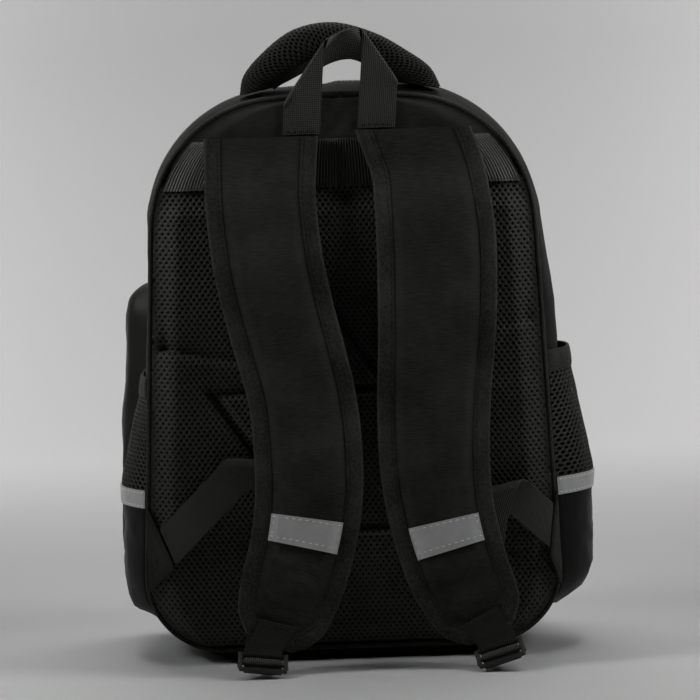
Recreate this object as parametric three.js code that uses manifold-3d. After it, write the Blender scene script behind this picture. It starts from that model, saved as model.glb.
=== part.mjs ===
// A black school backpack standing on its base, with its shoulder straps towards -Y and its front pocket
// towards +Y. Sizes are in millimetres, X is to the right as the straps are looked at and Z is up. The
// origin is on the floor under the middle of the main compartment.
import * as THREE from 'three';
import { mergeVertices } from 'three/addons/utils/BufferGeometryUtils.js';
import Module from 'manifold-3d';

const wasm = await Module();
wasm.setup();

// Cloth, seams and gaps
const GAP = 0.35;
const CLOTH = 2;
const PIPING_RADIUS = 2.3;
const PIPING_SIDES = 5;
const PANEL_INSET = 2.8;
const WEBBING_WIDTH = 25;
const WEBBING_THICK = 1.4;

// Main bag: depth of the two seams, and the corners of the seam line round each panel, right half
const BACK_SEAM_Y = -52;
const FRONT_SEAM_Y = 48;
const BAG_CORNERS = [
  { x: 141, z: 9, r: 50, steps: 6, straight: 7 },
  { x: 124.8, z: 373, r: 89, steps: 7, straight: 2 },
  { x: 0, z: 381.5, r: 500, steps: 2, straight: 2 },
];
const BAG_BASE_STEPS = 4;
// How far the gusset swells out of the seam line half way between the two seams
const GUSSET_BULGE = [
  { z: 9.5, left: 14, right: 14 },
  { z: 14, left: 2, right: 3 },
  { z: 25, left: 2, right: 5 },
  { z: 45, left: 6.5, right: 9.5 },
  { z: 80, left: 8, right: 12 },
  { z: 120, left: 7, right: 12.5 },
  { z: 160, left: 6, right: 12.3 },
  { z: 205, left: 3.5, right: 12.8 },
  { z: 240, left: 3.2, right: 12.8 },
  { z: 276, left: 3.2, right: 8.6 },
  { z: 315, left: 4.4, right: 6.4 },
  { z: 390, left: 6.8, right: 8.6 },
];
const BULGE_POWER = 2.6;
const BASE_POWER = 9;
const GUSSET_COLUMNS_Y = [-52, -45, -34, -14, 6, 26, 40, 48];

// Main zip, from one side pocket over the crown to the other
const ZIP_END_Z = 150;
const ZIP_Y = 10;
const ZIP_WIDTH = 8;

// Back panel: its flat inner face, the level of its cloth, and its upper band
const PANEL_BACK_Y = -53;
const PANEL_EDGE_THICK = 3;
const YOKE_LIFT = 3;
const PAD_LIFT = 9;
const PAD_EDGE_RUN = 16;
const YOKE_SPLIT_Z = 335;
const BAND_LOW_Z = 319;
const BAND_TOP_Z = 351;
const BAND_THICK = 1.5;
const PAD_SHOULDER_Z = 300;
const PANEL_COLUMNS = [-1, -0.955, -0.885, -0.65, -0.3, 0, 0.3, 0.65, 0.885, 0.955, 1];
// Zigzag channel sewn into the pad, from under the left strap to under the right one
const CHANNEL_TURNS = [
  { x: -52, z: 300 },
  { x: 27, z: 184 },
  { x: -91, z: 184 },
  { x: -29, z: 90 },
  { x: 66, z: 90 },
];
const CHANNEL_WIDTH = 6;
const CHANNEL_DEPTH = 5;

// Front pocket: corners of its seam on the front panel and of its fullest outline, right half
const POCKET_SEAM_CORNERS = [
  { x: 134, z: 22, r: 50, steps: 5, straight: 4 },
  { x: 124, z: 229, r: 30, steps: 5, straight: 5 },
];
const POCKET_FULL_CORNERS = [
  { x: 159, z: -3, r: 85, steps: 5, straight: 4 },
  { x: 140.5, z: 253, r: 16, steps: 5, straight: 5 },
];
const POCKET_BASE_STEPS = 4;
const POCKET_LEAN_X = -9.5;
// How the pocket comes forward: share of the way from the seam to the fullest outline, then to its middle
const POCKET_GUSSET = [
  { y: 51, full: 0, middle: 0 },
  { y: 58, full: 0.54, middle: 0 },
  { y: 66, full: 0.87, middle: 0 },
  { y: 78, full: 1, middle: 0 },
  { y: 86, full: 0.96, middle: 0 },
];
const POCKET_ZIP_END_Z = 120;
const POCKET_ZIP_WIDTH = 7;
const POCKET_FACE = [
  { y: 93.7, full: 0.84, middle: 0 },
  { y: 99, full: 0.55, middle: 0 },
  { y: 104, full: 0.1, middle: 0 },
  { y: 108, full: 0, middle: 0.14 },
  { y: 110, full: 0, middle: 0.4 },
];
const POCKET_CROWN_Y = 112;
const POCKET_MIDDLE_Z = 125;

// Side pockets: own swell beyond the gusset by height along the seam line
const SIDE_POCKET_BULGE = [
  { z: 33, left: 0, right: 0 },
  { z: 38, left: 5, right: 3 },
  { z: 41, left: 9, right: 5.5 },
  { z: 48, left: 8.6, right: 10.5 },
  { z: 57, left: 8.2, right: 14.5 },
  { z: 82, left: 7.6, right: 14 },
  { z: 106, left: 10.2, right: 15.2 },
  { z: 118, left: 11.4, right: 17.2 },
  { z: 125, left: 11.2, right: 16.3 },
  { z: 137, left: 8.6, right: 14.7 },
  { z: 157, left: 5.8, right: 12 },
  { z: 181, left: 1.5, right: 7.8 },
  { z: 194, left: 0.7, right: 6 },
  { z: 204, left: 0.7, right: 5.4 },
];
const SIDE_POCKET_COLUMNS_Y = [-50.5, -45, -34, -14, 6, 26, 40, 46.5];
const SIDE_POCKET_POWER = 2.6;
const SIDE_POCKET_WALL = 1.5;
const SIDE_POCKET_CLEAR = 0.5;
const POCKET_FOOT_Z = { left: 30, right: 33 };
const POCKET_BASE_ROWS_Z = [48, 73, 106, 112];
const POCKET_NET_LOW_Z = 112.5;
const POCKET_NET_ROWS = [0, 0.07, 0.32, 0.57, 0.79, 1];
const POCKET_TOP_Z = { left: 194, right: 204 };
const POCKET_BINDING_HEIGHT = 13.5;
const POCKET_BINDING_WALL = 2.4;
const POCKET_REFLECTOR_ROWS_Z = [106, 112, 118];
const REFLECTOR_THICK = 0.8;

// Shoulder straps: centre line from the sewn top to the free end, half width and half thickness of the pad
const STRAP_LEFT = [
  { x: -53, y: -64.7, z: 353, half: 38.2, thick: 2.1 },
  { x: -54, y: -66.2, z: 333, half: 37.5, thick: 2.7 },
  { x: -54.5, y: -70.4, z: 312, half: 36.9, thick: 4 },
  { x: -51.1, y: -76, z: 272, half: 36.7, thick: 5 },
  { x: -44, y: -80.7, z: 235.5, half: 36.2, thick: 5 },
  { x: -36.5, y: -84.8, z: 205, half: 35.8, thick: 5 },
  { x: -31, y: -88.7, z: 179, half: 35.6, thick: 5 },
  { x: -28.4, y: -93.6, z: 145, half: 36, thick: 5 },
  { x: -29.4, y: -98.6, z: 110, half: 35.5, thick: 5 },
  { x: -35.2, y: -103.2, z: 80, half: 34.5, thick: 4.8 },
  { x: -40.3, y: -105.8, z: 63.5, half: 34, thick: 4.4 },
  { x: -47.3, y: -108.8, z: 44.4, half: 32, thick: 3.6 },
  { x: -53.5, y: -110.9, z: 32, half: 27.5, thick: 1.8 },
  { x: -58.5, y: -112.2, z: 22, half: 17, thick: 1.8 },
];
const STRAP_RIGHT = [
  { x: 48.2, y: -64.7, z: 356, half: 38.4, thick: 2.1 },
  { x: 57, y: -66.4, z: 330, half: 37.6, thick: 2.8 },
  { x: 59.8, y: -70.6, z: 308, half: 38.8, thick: 4 },
  { x: 61.3, y: -74.6, z: 283, half: 39.8, thick: 5 },
  { x: 60.6, y: -80.5, z: 240, half: 39.6, thick: 5 },
  { x: 58.5, y: -84.6, z: 207, half: 38.6, thick: 5 },
  { x: 56, y: -89, z: 176, half: 37.7, thick: 5 },
  { x: 55.2, y: -95.2, z: 133, half: 36.5, thick: 5 },
  { x: 58.6, y: -100, z: 101, half: 35.2, thick: 5 },
  { x: 67.5, y: -105.4, z: 66, half: 33.8, thick: 4.6 },
  { x: 76.3, y: -108.6, z: 46, half: 31.6, thick: 3.6 },
  { x: 83.2, y: -110.8, z: 33, half: 27.5, thick: 1.8 },
  { x: 88.3, y: -112.2, z: 23, half: 17, thick: 1.8 },
];
const STRAP_SQUARE_ROWS = 2;
const STRAP_EDGE_THICK = 1.8;
const STRAP_STEPS_PER_ROW = 2;
const STRAP_ROUND_ROWS = 3;
const BINDING_WIDTH = 11;
const BINDING_THICK = 1;
const BINDING_HALF = 3.4;
const PAD_EDGE_INSET = 1.7;
const PAD_END_INSET = 2.4;
const PAD_RISE_INSET = 19;
const STRAP_REFLECTOR_LENGTH = 19.5;
const STRAP_REFLECTOR_Z = { left: 92, right: 87.5 };

// Tab sewn over each strap end, looped round the buckle's top bar: along the strap and out of its face
const TAB_PATH = [
  { along: -14, out: 5 },
  { along: -5, out: 4.8 },
  { along: 6, out: 5.4 },
  { along: 9.5, out: 5.9 },
  { along: 11.55, out: 5.05 },
  { along: 12.4, out: 3 },
  { along: 11.55, out: 0.95 },
  { along: 9.5, out: 0.1 },
  { along: 4.5, out: -4.4 },
  { along: -2, out: -5.7 },
  { along: -12, out: -6.2 },
];
const TAB_THICK = 1.2;

// Ladder buckle, tilted forward round its top bar
const BUCKLE_BAR = { along: 9.5, out: 3 };
const BUCKLE_TILT = THREE.MathUtils.degToRad(50);
const BUCKLE_SLANT = { left: -6, right: 16 };
const TAB_SLANT = { left: -16, right: 28 };
const BUCKLE_WIDTH = 33;
const BUCKLE_THICK = 2.8;
const BUCKLE_RAIL = 3;
const BUCKLE_CORNER = 1.8;
const BUCKLE_BARS = [
  { from: -1.5, to: 1.5 },
  { from: 6.3, to: 9.2 },
  { from: 12.6, to: 16 },
];

// Adjuster webbing: from the wing up to a soft fold, then down behind the strap and through the buckle
const ADJUSTERS = {
  left: { x: -125.2, y: -66.4, z: 80.4, heading: 45.5, length: 76, axis: -5, endY: -80, sweep: -63, fold: 1 },
  right: { x: 134.2, y: -66.5, z: 86.6, heading: 137, length: 40, axis: 193, endY: -79, sweep: 47, fold: -1 },
};
const ADJUSTER_FOLD_RADIUS = 5;
const ADJUSTER_FOLD_STEPS = 6;
const ADJUSTER_DROP_STEPS = 8;
const ADJUSTER_DROP_END = { along: 3, out: -12 };
// Last stretch in the buckle's own frame: through the first slot, over the middle bar, out under the last bar
const ADJUSTER_TAIL = [
  { along: 4.85, out: -3.6 },
  { along: 4.85, out: 0 },
  { along: 5.7, out: 2.05 },
  { along: 7.75, out: 2.9 },
  { along: 9.8, out: 2.05 },
  { along: 10.65, out: 0 },
  { along: 11.4, out: -2.6 },
  { along: 13.6, out: -3.5 },
];
const WING_THICK = 2.8;
const WINGS = {
  left: [[-137.2, -58.2, 108], [-120, -71.5, 68], [-137.6, -58.2, 50]],
  right: [[137.6, -57.9, 110], [131.5, -71, 69], [139, -57.9, 46]],
};

// Carrying handle: outer and inner edge of each section, and its depth
const HANDLE_Y = -36;
const HANDLE_SECTIONS = [
  { outerX: -66.5, outerZ: 381, innerX: -41, innerZ: 386.2, depth: 22 },
  { outerX: -63.5, outerZ: 394, innerX: -32, innerZ: 390.4, depth: 25 },
  { outerX: -49.5, outerZ: 410, innerX: -23, innerZ: 395, depth: 26 },
  { outerX: -29, outerZ: 424.2, innerX: -12, innerZ: 400.8, depth: 26 },
  { outerX: -3, outerZ: 428.5, innerX: 0, innerZ: 404, depth: 26 },
  { outerX: 25, outerZ: 420.8, innerX: 13, innerZ: 402, depth: 26 },
  { outerX: 46, outerZ: 408.7, innerX: 23, innerZ: 396, depth: 26 },
  { outerX: 62.5, outerZ: 396, innerX: 30, innerZ: 390, depth: 25 },
  { outerX: 69.5, outerZ: 381.8, innerX: 35, innerZ: 387.4, depth: 22 },
];
const HANDLE_STEPS = 16;
const HANDLE_SIDES = 10;

// Hang loop: two legs on the yoke, each folded back on the slant into the run between them
const LOOP_LEGS = {
  left: { x: -26, z: 354.2, topX: -23, topZ: 392.6, axis: 55 },
  right: { x: 24, z: 357.2, topX: 28, topZ: 403, axis: 123 },
};
const LOOP_FOOT_Y = -60.1;
const LOOP_TOP_Y = -61.5;
const LOOP_FOLD_RADIUS = 1.2;
const LOOP_FOLD_STEPS = 4;
const LOOP_RUN_STEPS = 6;
const LOOP_RUN_RISE = { top: 1, low: 19 };
const LOOP_RUN_LEAN = { top: -8, low: 5 };

// Zip slider and its pull
const SLIDER_BODY = { length: 11, width: 9 };
const SLIDER_PULL = { length: 24, width: 6 };
const SLIDER_THICK = 3;
const MAIN_SLIDER_X = 52;

// Finishes
const FINISH = {
  polyester: { color: 0x1d1d1c, roughness: 0.82, metalness: 0 },
  satin: { color: 0x18181a, roughness: 0.5, metalness: 0 },
  airMesh: { color: 0x161615, roughness: 0.9, metalness: 0 },
  webbing: { color: 0x272726, roughness: 0.75, metalness: 0 },
  binding: { color: 0x1f1f1e, roughness: 0.8, metalness: 0 },
  reflective: { color: 0x7d7d7f, roughness: 0.42, metalness: 0.25 },
  plastic: { color: 0x161616, roughness: 0.38, metalness: 0 },
  metal: { color: 0x1b1b1c, roughness: 0.35, metalness: 0.8 },
};

const backpack = new THREE.Group();

function add(name, geometry, finish) {
  const mesh = new THREE.Mesh(geometry, new THREE.MeshStandardMaterial(FINISH[finish]));
  mesh.name = name;
  backpack.add(mesh);
  return mesh;
}

// Value of one column of a table at a place between its rows
function lookup(rows, key, place, column) {
  const after = rows.findIndex((row) => row[key] >= place);
  if (after === 0) return rows[0][column];
  if (after === -1) return rows[rows.length - 1][column];
  const low = rows[after - 1];
  const high = rows[after];
  return THREE.MathUtils.mapLinear(place, low[key], high[key], low[column], high[column]);
}

// Closed body from points and triangles, with doubled points joined and its faces turned outwards
function closedBody(points, faces) {
  const loose = new THREE.BufferGeometry();
  const flat = points.flatMap((p) => [p.x, p.y, p.z]);
  loose.setAttribute('position', new THREE.Float32BufferAttribute(flat, 3));
  loose.setIndex(faces);
  const geometry = mergeVertices(loose, 1e-4);
  const corner = [new THREE.Vector3(), new THREE.Vector3(), new THREE.Vector3()];
  const index = [];
  let volume = 0;
  for (let k = 0; k < geometry.index.count; k += 3) {
    const triangle = [0, 1, 2].map((n) => geometry.index.getX(k + n));
    if (new Set(triangle).size === 3) {
      triangle.forEach((vertex, n) => corner[n].fromBufferAttribute(geometry.attributes.position, vertex));
      volume += corner[0].dot(corner[1].cross(corner[2]));
      index.push(...triangle);
    }
  }
  geometry.setIndex(volume < 0 ? index.reverse() : index);
  geometry.computeVertexNormals();
  return geometry;
}

// Sheet with a front and a back skin on matching grids; wrap joins its last row to its first
function thickSheet(front, back, wrap = false) {
  const rows = front.length;
  const last = front[0].length - 1;
  const at = (skin, i, j) => (skin * rows + (i % rows)) * (last + 1) + j;
  const faces = [];
  const quad = (a, b, c, d) => faces.push(a, b, c, a, c, d);
  const steps = wrap ? rows : rows - 1;
  for (let i = 0; i < steps; i += 1) {
    for (let j = 0; j < last; j += 1) {
      quad(at(0, i, j), at(0, i + 1, j), at(0, i + 1, j + 1), at(0, i, j + 1));
      quad(at(1, i, j), at(1, i, j + 1), at(1, i + 1, j + 1), at(1, i + 1, j));
    }
    quad(at(0, i, 0), at(1, i, 0), at(1, i + 1, 0), at(0, i + 1, 0));
    quad(at(0, i, last), at(0, i + 1, last), at(1, i + 1, last), at(1, i, last));
  }
  for (let j = 0; j < last && !wrap; j += 1) {
    quad(at(0, 0, j), at(0, 0, j + 1), at(1, 0, j + 1), at(1, 0, j));
    quad(at(0, steps, j), at(1, steps, j), at(1, steps, j + 1), at(0, steps, j + 1));
  }
  return closedBody([...front.flat(), ...back.flat()], faces);
}

// Pad with a shaped front skin over a flat back at one depth
function flatBackedPad(front, backY) {
  const back = front.map((row) => row.map((p) => p.clone().setY(backY)));
  return thickSheet(front, back);
}

// Body lofted through closed sections; a loop joins the last to the first, otherwise both ends are capped
function ringLoft(rings, loop) {
  const sides = rings[0].length;
  const steps = loop ? rings.length : rings.length - 1;
  const at = (i, j) => (i % rings.length) * sides + (j % sides);
  const faces = [];
  for (let i = 0; i < steps; i += 1) {
    for (let j = 0; j < sides; j += 1) {
      faces.push(at(i, j), at(i + 1, j), at(i + 1, j + 1), at(i, j), at(i + 1, j + 1), at(i, j + 1));
    }
  }
  for (let j = 1; j < sides - 1 && !loop; j += 1) {
    faces.push(at(0, 0), at(0, j), at(0, j + 1));
    faces.push(at(steps, 0), at(steps, j + 1), at(steps, j));
  }
  return closedBody(rings.flat(), faces);
}

// Flat plate through three or more points, its thickness shared to both sides
function plate(points, thick) {
  const side = new THREE.Vector3().subVectors(points[1], points[0]);
  const normal = new THREE.Vector3().subVectors(points[2], points[0]).cross(side).setLength(thick / 2);
  const rings = [-1, 1].map((sign) => points.map((p) => p.clone().addScaledVector(normal, sign)));
  return ringLoft(rings, false);
}

// Closed seam line with rounded corners, mirrored from its right half, anticlockwise from the lower right
function seamLine(corners, baseSteps) {
  const leftHalf = corners.filter((row) => row.x > 0).reverse();
  const all = [...corners, ...leftHalf.map((row) => ({ ...row, x: -row.x }))];
  const straights = [...corners, ...leftHalf.slice(1)].map((row) => row.straight);
  straights.push(baseSteps);
  const arcs = all.map((row, k) => {
    const vertex = new THREE.Vector2(row.x, row.z);
    const before = all[(k + all.length - 1) % all.length];
    const after = all[(k + 1) % all.length];
    const u = new THREE.Vector2(before.x, before.z).sub(vertex).normalize();
    const w = new THREE.Vector2(after.x, after.z).sub(vertex).normalize();
    const half = Math.acos(THREE.MathUtils.clamp(u.dot(w), -1, 1)) / 2;
    const centre = u.clone().add(w).setLength(row.r / Math.sin(half)).add(vertex);
    const start = vertex.clone().addScaledVector(u, row.r / Math.tan(half)).sub(centre);
    const turn = (Math.PI - 2 * half) / row.steps;
    return Array.from({ length: row.steps + 1 }, (_, s) => {
      const arm = start.clone().rotateAround(new THREE.Vector2(), turn * s);
      const normal = arm.clone().normalize();
      return { x: centre.x + arm.x, z: centre.y + arm.y, nx: normal.x, nz: normal.y };
    });
  });
  return arcs.flatMap((arc, k) => {
    const from = arc[arc.length - 1];
    const to = arcs[(k + 1) % arcs.length][0];
    const steps = straights[k];
    const between = Array.from({ length: steps - 1 }, (_, s) => {
      const t = (s + 1) / steps;
      return {
        x: THREE.MathUtils.lerp(from.x, to.x, t),
        z: THREE.MathUtils.lerp(from.z, to.z, t),
        nx: from.nx,
        nz: from.nz,
      };
    });
    return [...arc, ...between];
  });
}

const bagSeam = seamLine(BAG_CORNERS, BAG_BASE_STEPS);

// Seam line split at a height: the arch over the top and the trough round the base
function splitAtHeight(loop, z) {
  const high = loop.map((p, k) => (p.z >= z ? k : -1)).filter((k) => k >= 0);
  const first = high[0];
  const final = high[high.length - 1];
  return { arch: loop.slice(first, final + 1), trough: [...loop.slice(final), ...loop.slice(0, first + 1)] };
}

// Right half of the seam line, from the base up to the crown
const rightSeam = bagSeam.slice(0, bagSeam.findIndex((p) => p.x < 1));

// Half width of the panel at a height, a given distance inside the seam line
function halfWidth(z, inset) {
  const line = rightSeam.map((p) => ({ x: p.x - p.nx * inset, z: p.z - p.nz * inset }));
  return lookup(line, 'z', z, 'x');
}

// Point of the seam line at a height on one side, with the way out of the bag
function seamAtHeight(side, z) {
  const sign = side === 'left' ? -1 : 1;
  const at = (column) => lookup(rightSeam, 'z', z, column);
  return { x: sign * at('x'), z, nx: sign * at('nx'), nz: at('nz') };
}

// Point of the gusset's cloth at a depth between the seams, some way in from its outer face
function gussetPoint(p, y, inward) {
  const place = (2 * (y - BACK_SEAM_Y)) / (FRONT_SEAM_Y - BACK_SEAM_Y) - 1;
  const base = THREE.MathUtils.smoothstep(-p.nz, 0.7, 0.95);
  const swell = 1 - Math.abs(place) ** THREE.MathUtils.lerp(BULGE_POWER, BASE_POWER, base);
  const out = lookup(GUSSET_BULGE, 'z', p.z, p.x < 0 ? 'left' : 'right') * swell - inward;
  return new THREE.Vector3(p.x + p.nx * out, y, Math.max(p.z + p.nz * out, inward));
}

function gussetBand(line, depths, thick = CLOTH) {
  const skin = (inward) => line.map((p) => depths.map((y) => gussetPoint(p, y, inward)));
  return thickSheet(skin(0), skin(thick));
}

function addGussets() {
  const { arch, trough } = splitAtHeight(bagSeam, ZIP_END_Z);
  const zipFrom = ZIP_Y - ZIP_WIDTH / 2;
  const zipTo = ZIP_Y + ZIP_WIDTH / 2;
  const rear = [...GUSSET_COLUMNS_Y.filter((y) => y < zipFrom - 6), zipFrom - GAP];
  const front = [zipTo + GAP, ...GUSSET_COLUMNS_Y.filter((y) => y > zipTo + 6)];
  const upper = arch.map((p) => ({ ...p }));
  for (const [end, beside] of [[0, 1], [arch.length - 1, arch.length - 2]]) {
    const from = arch[end];
    const to = arch[beside];
    const share = GAP / Math.hypot(to.x - from.x, to.z - from.z);
    upper[end].x = THREE.MathUtils.lerp(from.x, to.x, share);
    upper[end].z = THREE.MathUtils.lerp(from.z, to.z, share);
  }
  add('bottom_gusset', gussetBand(trough, GUSSET_COLUMNS_Y), 'polyester');
  add('top_gusset_rear', gussetBand(upper, rear), 'polyester');
  add('top_gusset_front', gussetBand(upper, front), 'polyester');
  add('main_zip', gussetBand(upper, [zipFrom, ZIP_Y, zipTo], WEBBING_THICK), 'webbing');
}

function piping(y) {
  const rings = bagSeam.map((p) => Array.from({ length: PIPING_SIDES }, (_, k) => {
    const angle = (2 * Math.PI * k) / PIPING_SIDES;
    const out = PIPING_RADIUS * Math.cos(angle);
    return new THREE.Vector3(p.x + p.nx * out, y + PIPING_RADIUS * Math.sin(angle), p.z + p.nz * out);
  }));
  return ringLoft(rings, true);
}

// Depth of the back panel's face: thin at the seam, level under the band, full over the pad
function panelFace(x, z) {
  const rim = halfWidth(z, PANEL_INSET) - Math.abs(x);
  const base = z - BAG_CORNERS[0].z - PANEL_INSET;
  const edge = THREE.MathUtils.smoothstep(Math.min(rim, base), 0, PAD_EDGE_RUN);
  const under = THREE.MathUtils.smoothstep(z, PAD_SHOULDER_Z, BAND_LOW_Z - 2);
  const lift = THREE.MathUtils.lerp(PAD_LIFT, YOKE_LIFT, under);
  return PANEL_BACK_Y - PANEL_EDGE_THICK - lift * edge;
}

function panelGrid(heights, inset, proud) {
  return heights.map((z) => PANEL_COLUMNS.map((share) => {
    const x = share * halfWidth(z, inset);
    return new THREE.Vector3(x, panelFace(share * halfWidth(z, PANEL_INSET), z) - proud, z);
  }));
}

function toSolid(geometry) {
  const split = geometry.clone();
  split.deleteAttribute('normal');
  split.deleteAttribute('uv');
  const bare = mergeVertices(split);
  const vertProperties = new Float32Array(bare.attributes.position.array);
  const triVerts = new Uint32Array(bare.index.array);
  return new wasm.Manifold(new wasm.Mesh({ numProp: 3, vertProperties, triVerts }));
}

function fromSolid(solid) {
  const mesh = solid.getMesh();
  const geometry = new THREE.BufferGeometry();
  geometry.setAttribute('position', new THREE.Float32BufferAttribute(mesh.vertProperties, 3));
  geometry.setIndex(Array.from(mesh.triVerts));
  geometry.computeVertexNormals();
  return geometry;
}

// Straight stretches of the channel, as bars that reach from the pad's face into its foam
function channelBars() {
  return CHANNEL_TURNS.slice(1).map((to, k) => {
    const from = CHANNEL_TURNS[k];
    const length = Math.hypot(to.x - from.x, to.z - from.z) + CHANNEL_WIDTH;
    const bar = new THREE.BoxGeometry(length, 2 * CHANNEL_DEPTH, CHANNEL_WIDTH);
    bar.rotateY(Math.atan2(from.z - to.z, to.x - from.x));
    const faceY = PANEL_BACK_Y - PANEL_EDGE_THICK - PAD_LIFT;
    bar.translate((from.x + to.x) / 2, faceY, (from.z + to.z) / 2);
    return toSolid(bar);
  });
}

function addBackPanel() {
  const side = rightSeam.map((p) => p.z - p.nz * PANEL_INSET);
  const lowest = BAG_CORNERS[0].z + PANEL_INSET;
  const rows = side.filter((z) => z > lowest + 0.5 && z < PAD_SHOULDER_Z - 8);
  const upper = [PAD_SHOULDER_Z, BAND_LOW_Z - 9, BAND_LOW_Z, YOKE_SPLIT_Z - GAP / 2];
  const padRows = [lowest + 0.05, ...rows, ...upper];
  let pad = toSolid(flatBackedPad(panelGrid(padRows, PANEL_INSET, 0), PANEL_BACK_Y));
  for (const bar of channelBars()) pad = pad.subtract(bar);
  add('back_pad', fromSolid(pad), 'airMesh');

  const yokeRows = [YOKE_SPLIT_Z + GAP / 2, BAND_TOP_Z, ...side.filter((z) => z > BAND_TOP_Z + 3)];
  add('back_yoke', flatBackedPad(panelGrid(yokeRows, PANEL_INSET, 0), PANEL_BACK_Y), 'polyester');

  const bandRows = [BAND_LOW_Z, YOKE_SPLIT_Z, BAND_TOP_Z];
  const bandInset = PANEL_INSET + 0.4;
  const bandBack = panelGrid(bandRows, bandInset, GAP);
  const bandFront = panelGrid(bandRows, bandInset, GAP + BAND_THICK);
  add('yoke_band', thickSheet(bandFront, bandBack), 'webbing');
}

function addFrontPanel() {
  const insets = [PANEL_INSET];
  const skin = (y) => bagSeam.map((p) => {
    const rings = insets.map((inset) => new THREE.Vector3(p.x - p.nx * inset, y, p.z - p.nz * inset));
    return [...rings, new THREE.Vector3(0, y, POCKET_MIDDLE_Z)];
  });
  const y = FRONT_SEAM_Y + 0.6;
  add('front_panel', thickSheet(skin(y + CLOTH), skin(y), true), 'polyester');
}

const pocketSeam = seamLine(POCKET_SEAM_CORNERS, POCKET_BASE_STEPS);
const pocketFull = seamLine(POCKET_FULL_CORNERS, POCKET_BASE_STEPS);

// Point of the front pocket on one row of its profile, leaning to the left where it is full
function frontPocketPoint(k, row, inward) {
  const seam = pocketSeam[k];
  const full = pocketFull[k];
  const mix = (column) => THREE.MathUtils.lerp(seam[column], full[column], row.full);
  const x = mix('x') - mix('nx') * inward + POCKET_LEAN_X * row.full;
  const z = mix('z') - mix('nz') * inward;
  const inX = THREE.MathUtils.lerp(x, POCKET_LEAN_X, row.middle);
  const inZ = THREE.MathUtils.lerp(z, POCKET_MIDDLE_Z, row.middle);
  return new THREE.Vector3(inX, row.y, Math.max(inZ, inward));
}

function pocketRowAt(y) {
  const rear = POCKET_GUSSET[POCKET_GUSSET.length - 1];
  const fore = POCKET_FACE[0];
  return { y, full: THREE.MathUtils.mapLinear(y, rear.y, fore.y, rear.full, fore.full), middle: 0 };
}

function addFrontPocket() {
  const all = pocketSeam.map((_, k) => k);
  const skin = (stations, rows, inward) => stations.map((k) => (
    rows.map((row) => frontPocketPoint(k, row, inward))));
  const gusset = thickSheet(skin(all, POCKET_GUSSET, 0), skin(all, POCKET_GUSSET, CLOTH), true);
  add('front_pocket_gusset', gusset, 'satin');

  const rim = pocketRowAt(POCKET_GUSSET[POCKET_GUSSET.length - 1].y + GAP);
  const hem = pocketRowAt(rim.y + POCKET_ZIP_WIDTH);
  const high = all.filter((k) => pocketSeam[k].z >= POCKET_ZIP_END_Z);
  const zip = thickSheet(skin(high, [rim, hem], 0), skin(high, [rim, hem], WEBBING_THICK));
  add('front_pocket_zip', zip, 'webbing');

  const face = (inward) => all.map((k) => {
    const beside = [all[(k + 1) % all.length], k, all.at(k - 1)];
    const start = beside.some((near) => high.includes(near)) ? POCKET_FACE[0] : rim;
    const rows = [start, ...POCKET_FACE.slice(1)];
    const lifted = rows.map((row) => ({ ...row, y: row.middle > 0 ? row.y - inward : row.y }));
    const centre = new THREE.Vector3(POCKET_LEAN_X, POCKET_CROWN_Y - inward, POCKET_MIDDLE_Z);
    return [...lifted.map((row) => frontPocketPoint(k, row, inward)), centre];
  });
  add('front_pocket_face', thickSheet(face(0), face(CLOTH), true), 'satin');
}

// Side pocket cloth at a height and depth, some way out from the gusset behind it
function sidePocketPoint(side, z, y, out) {
  const p = seamAtHeight(side, z);
  const first = SIDE_POCKET_COLUMNS_Y[0];
  const final = SIDE_POCKET_COLUMNS_Y[SIDE_POCKET_COLUMNS_Y.length - 1];
  const place = (2 * (y - first)) / (final - first) - 1;
  const swell = lookup(SIDE_POCKET_BULGE, 'z', z, side) * (1 - Math.abs(place) ** SIDE_POCKET_POWER);
  return gussetPoint(p, y, -(SIDE_POCKET_CLEAR + swell + out));
}

function addSidePocket(side) {
  const sheet = (rows, from, thick) => {
    const skin = (out) => rows.map((z) => SIDE_POCKET_COLUMNS_Y.map((y) => sidePocketPoint(side, z, y, out)));
    return thickSheet(skin(from + thick), skin(from));
  };
  const tape = SIDE_POCKET_WALL + GAP;
  const low = rightSeam.map((p) => p.z).filter((z) => z > POCKET_FOOT_Z[side] && z < 100);
  const baseRows = [...low, ...POCKET_BASE_ROWS_Z].sort((a, b) => a - b);
  add(`pocket_base_${side}`, sheet(baseRows, 0, SIDE_POCKET_WALL), 'polyester');
  const hem = POCKET_TOP_Z[side] - POCKET_BINDING_HEIGHT;
  const netRows = POCKET_NET_ROWS.map((t) => THREE.MathUtils.lerp(POCKET_NET_LOW_Z, hem - 0.5, t));
  add(`pocket_net_${side}`, sheet(netRows, 0, SIDE_POCKET_WALL), 'airMesh');
  add(`pocket_binding_${side}`, sheet([hem, POCKET_TOP_Z[side]], 0, POCKET_BINDING_WALL), 'binding');
  add(`pocket_reflector_${side}`, sheet(POCKET_REFLECTOR_ROWS_Z, tape, REFLECTOR_THICK), 'reflective');
}

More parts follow.
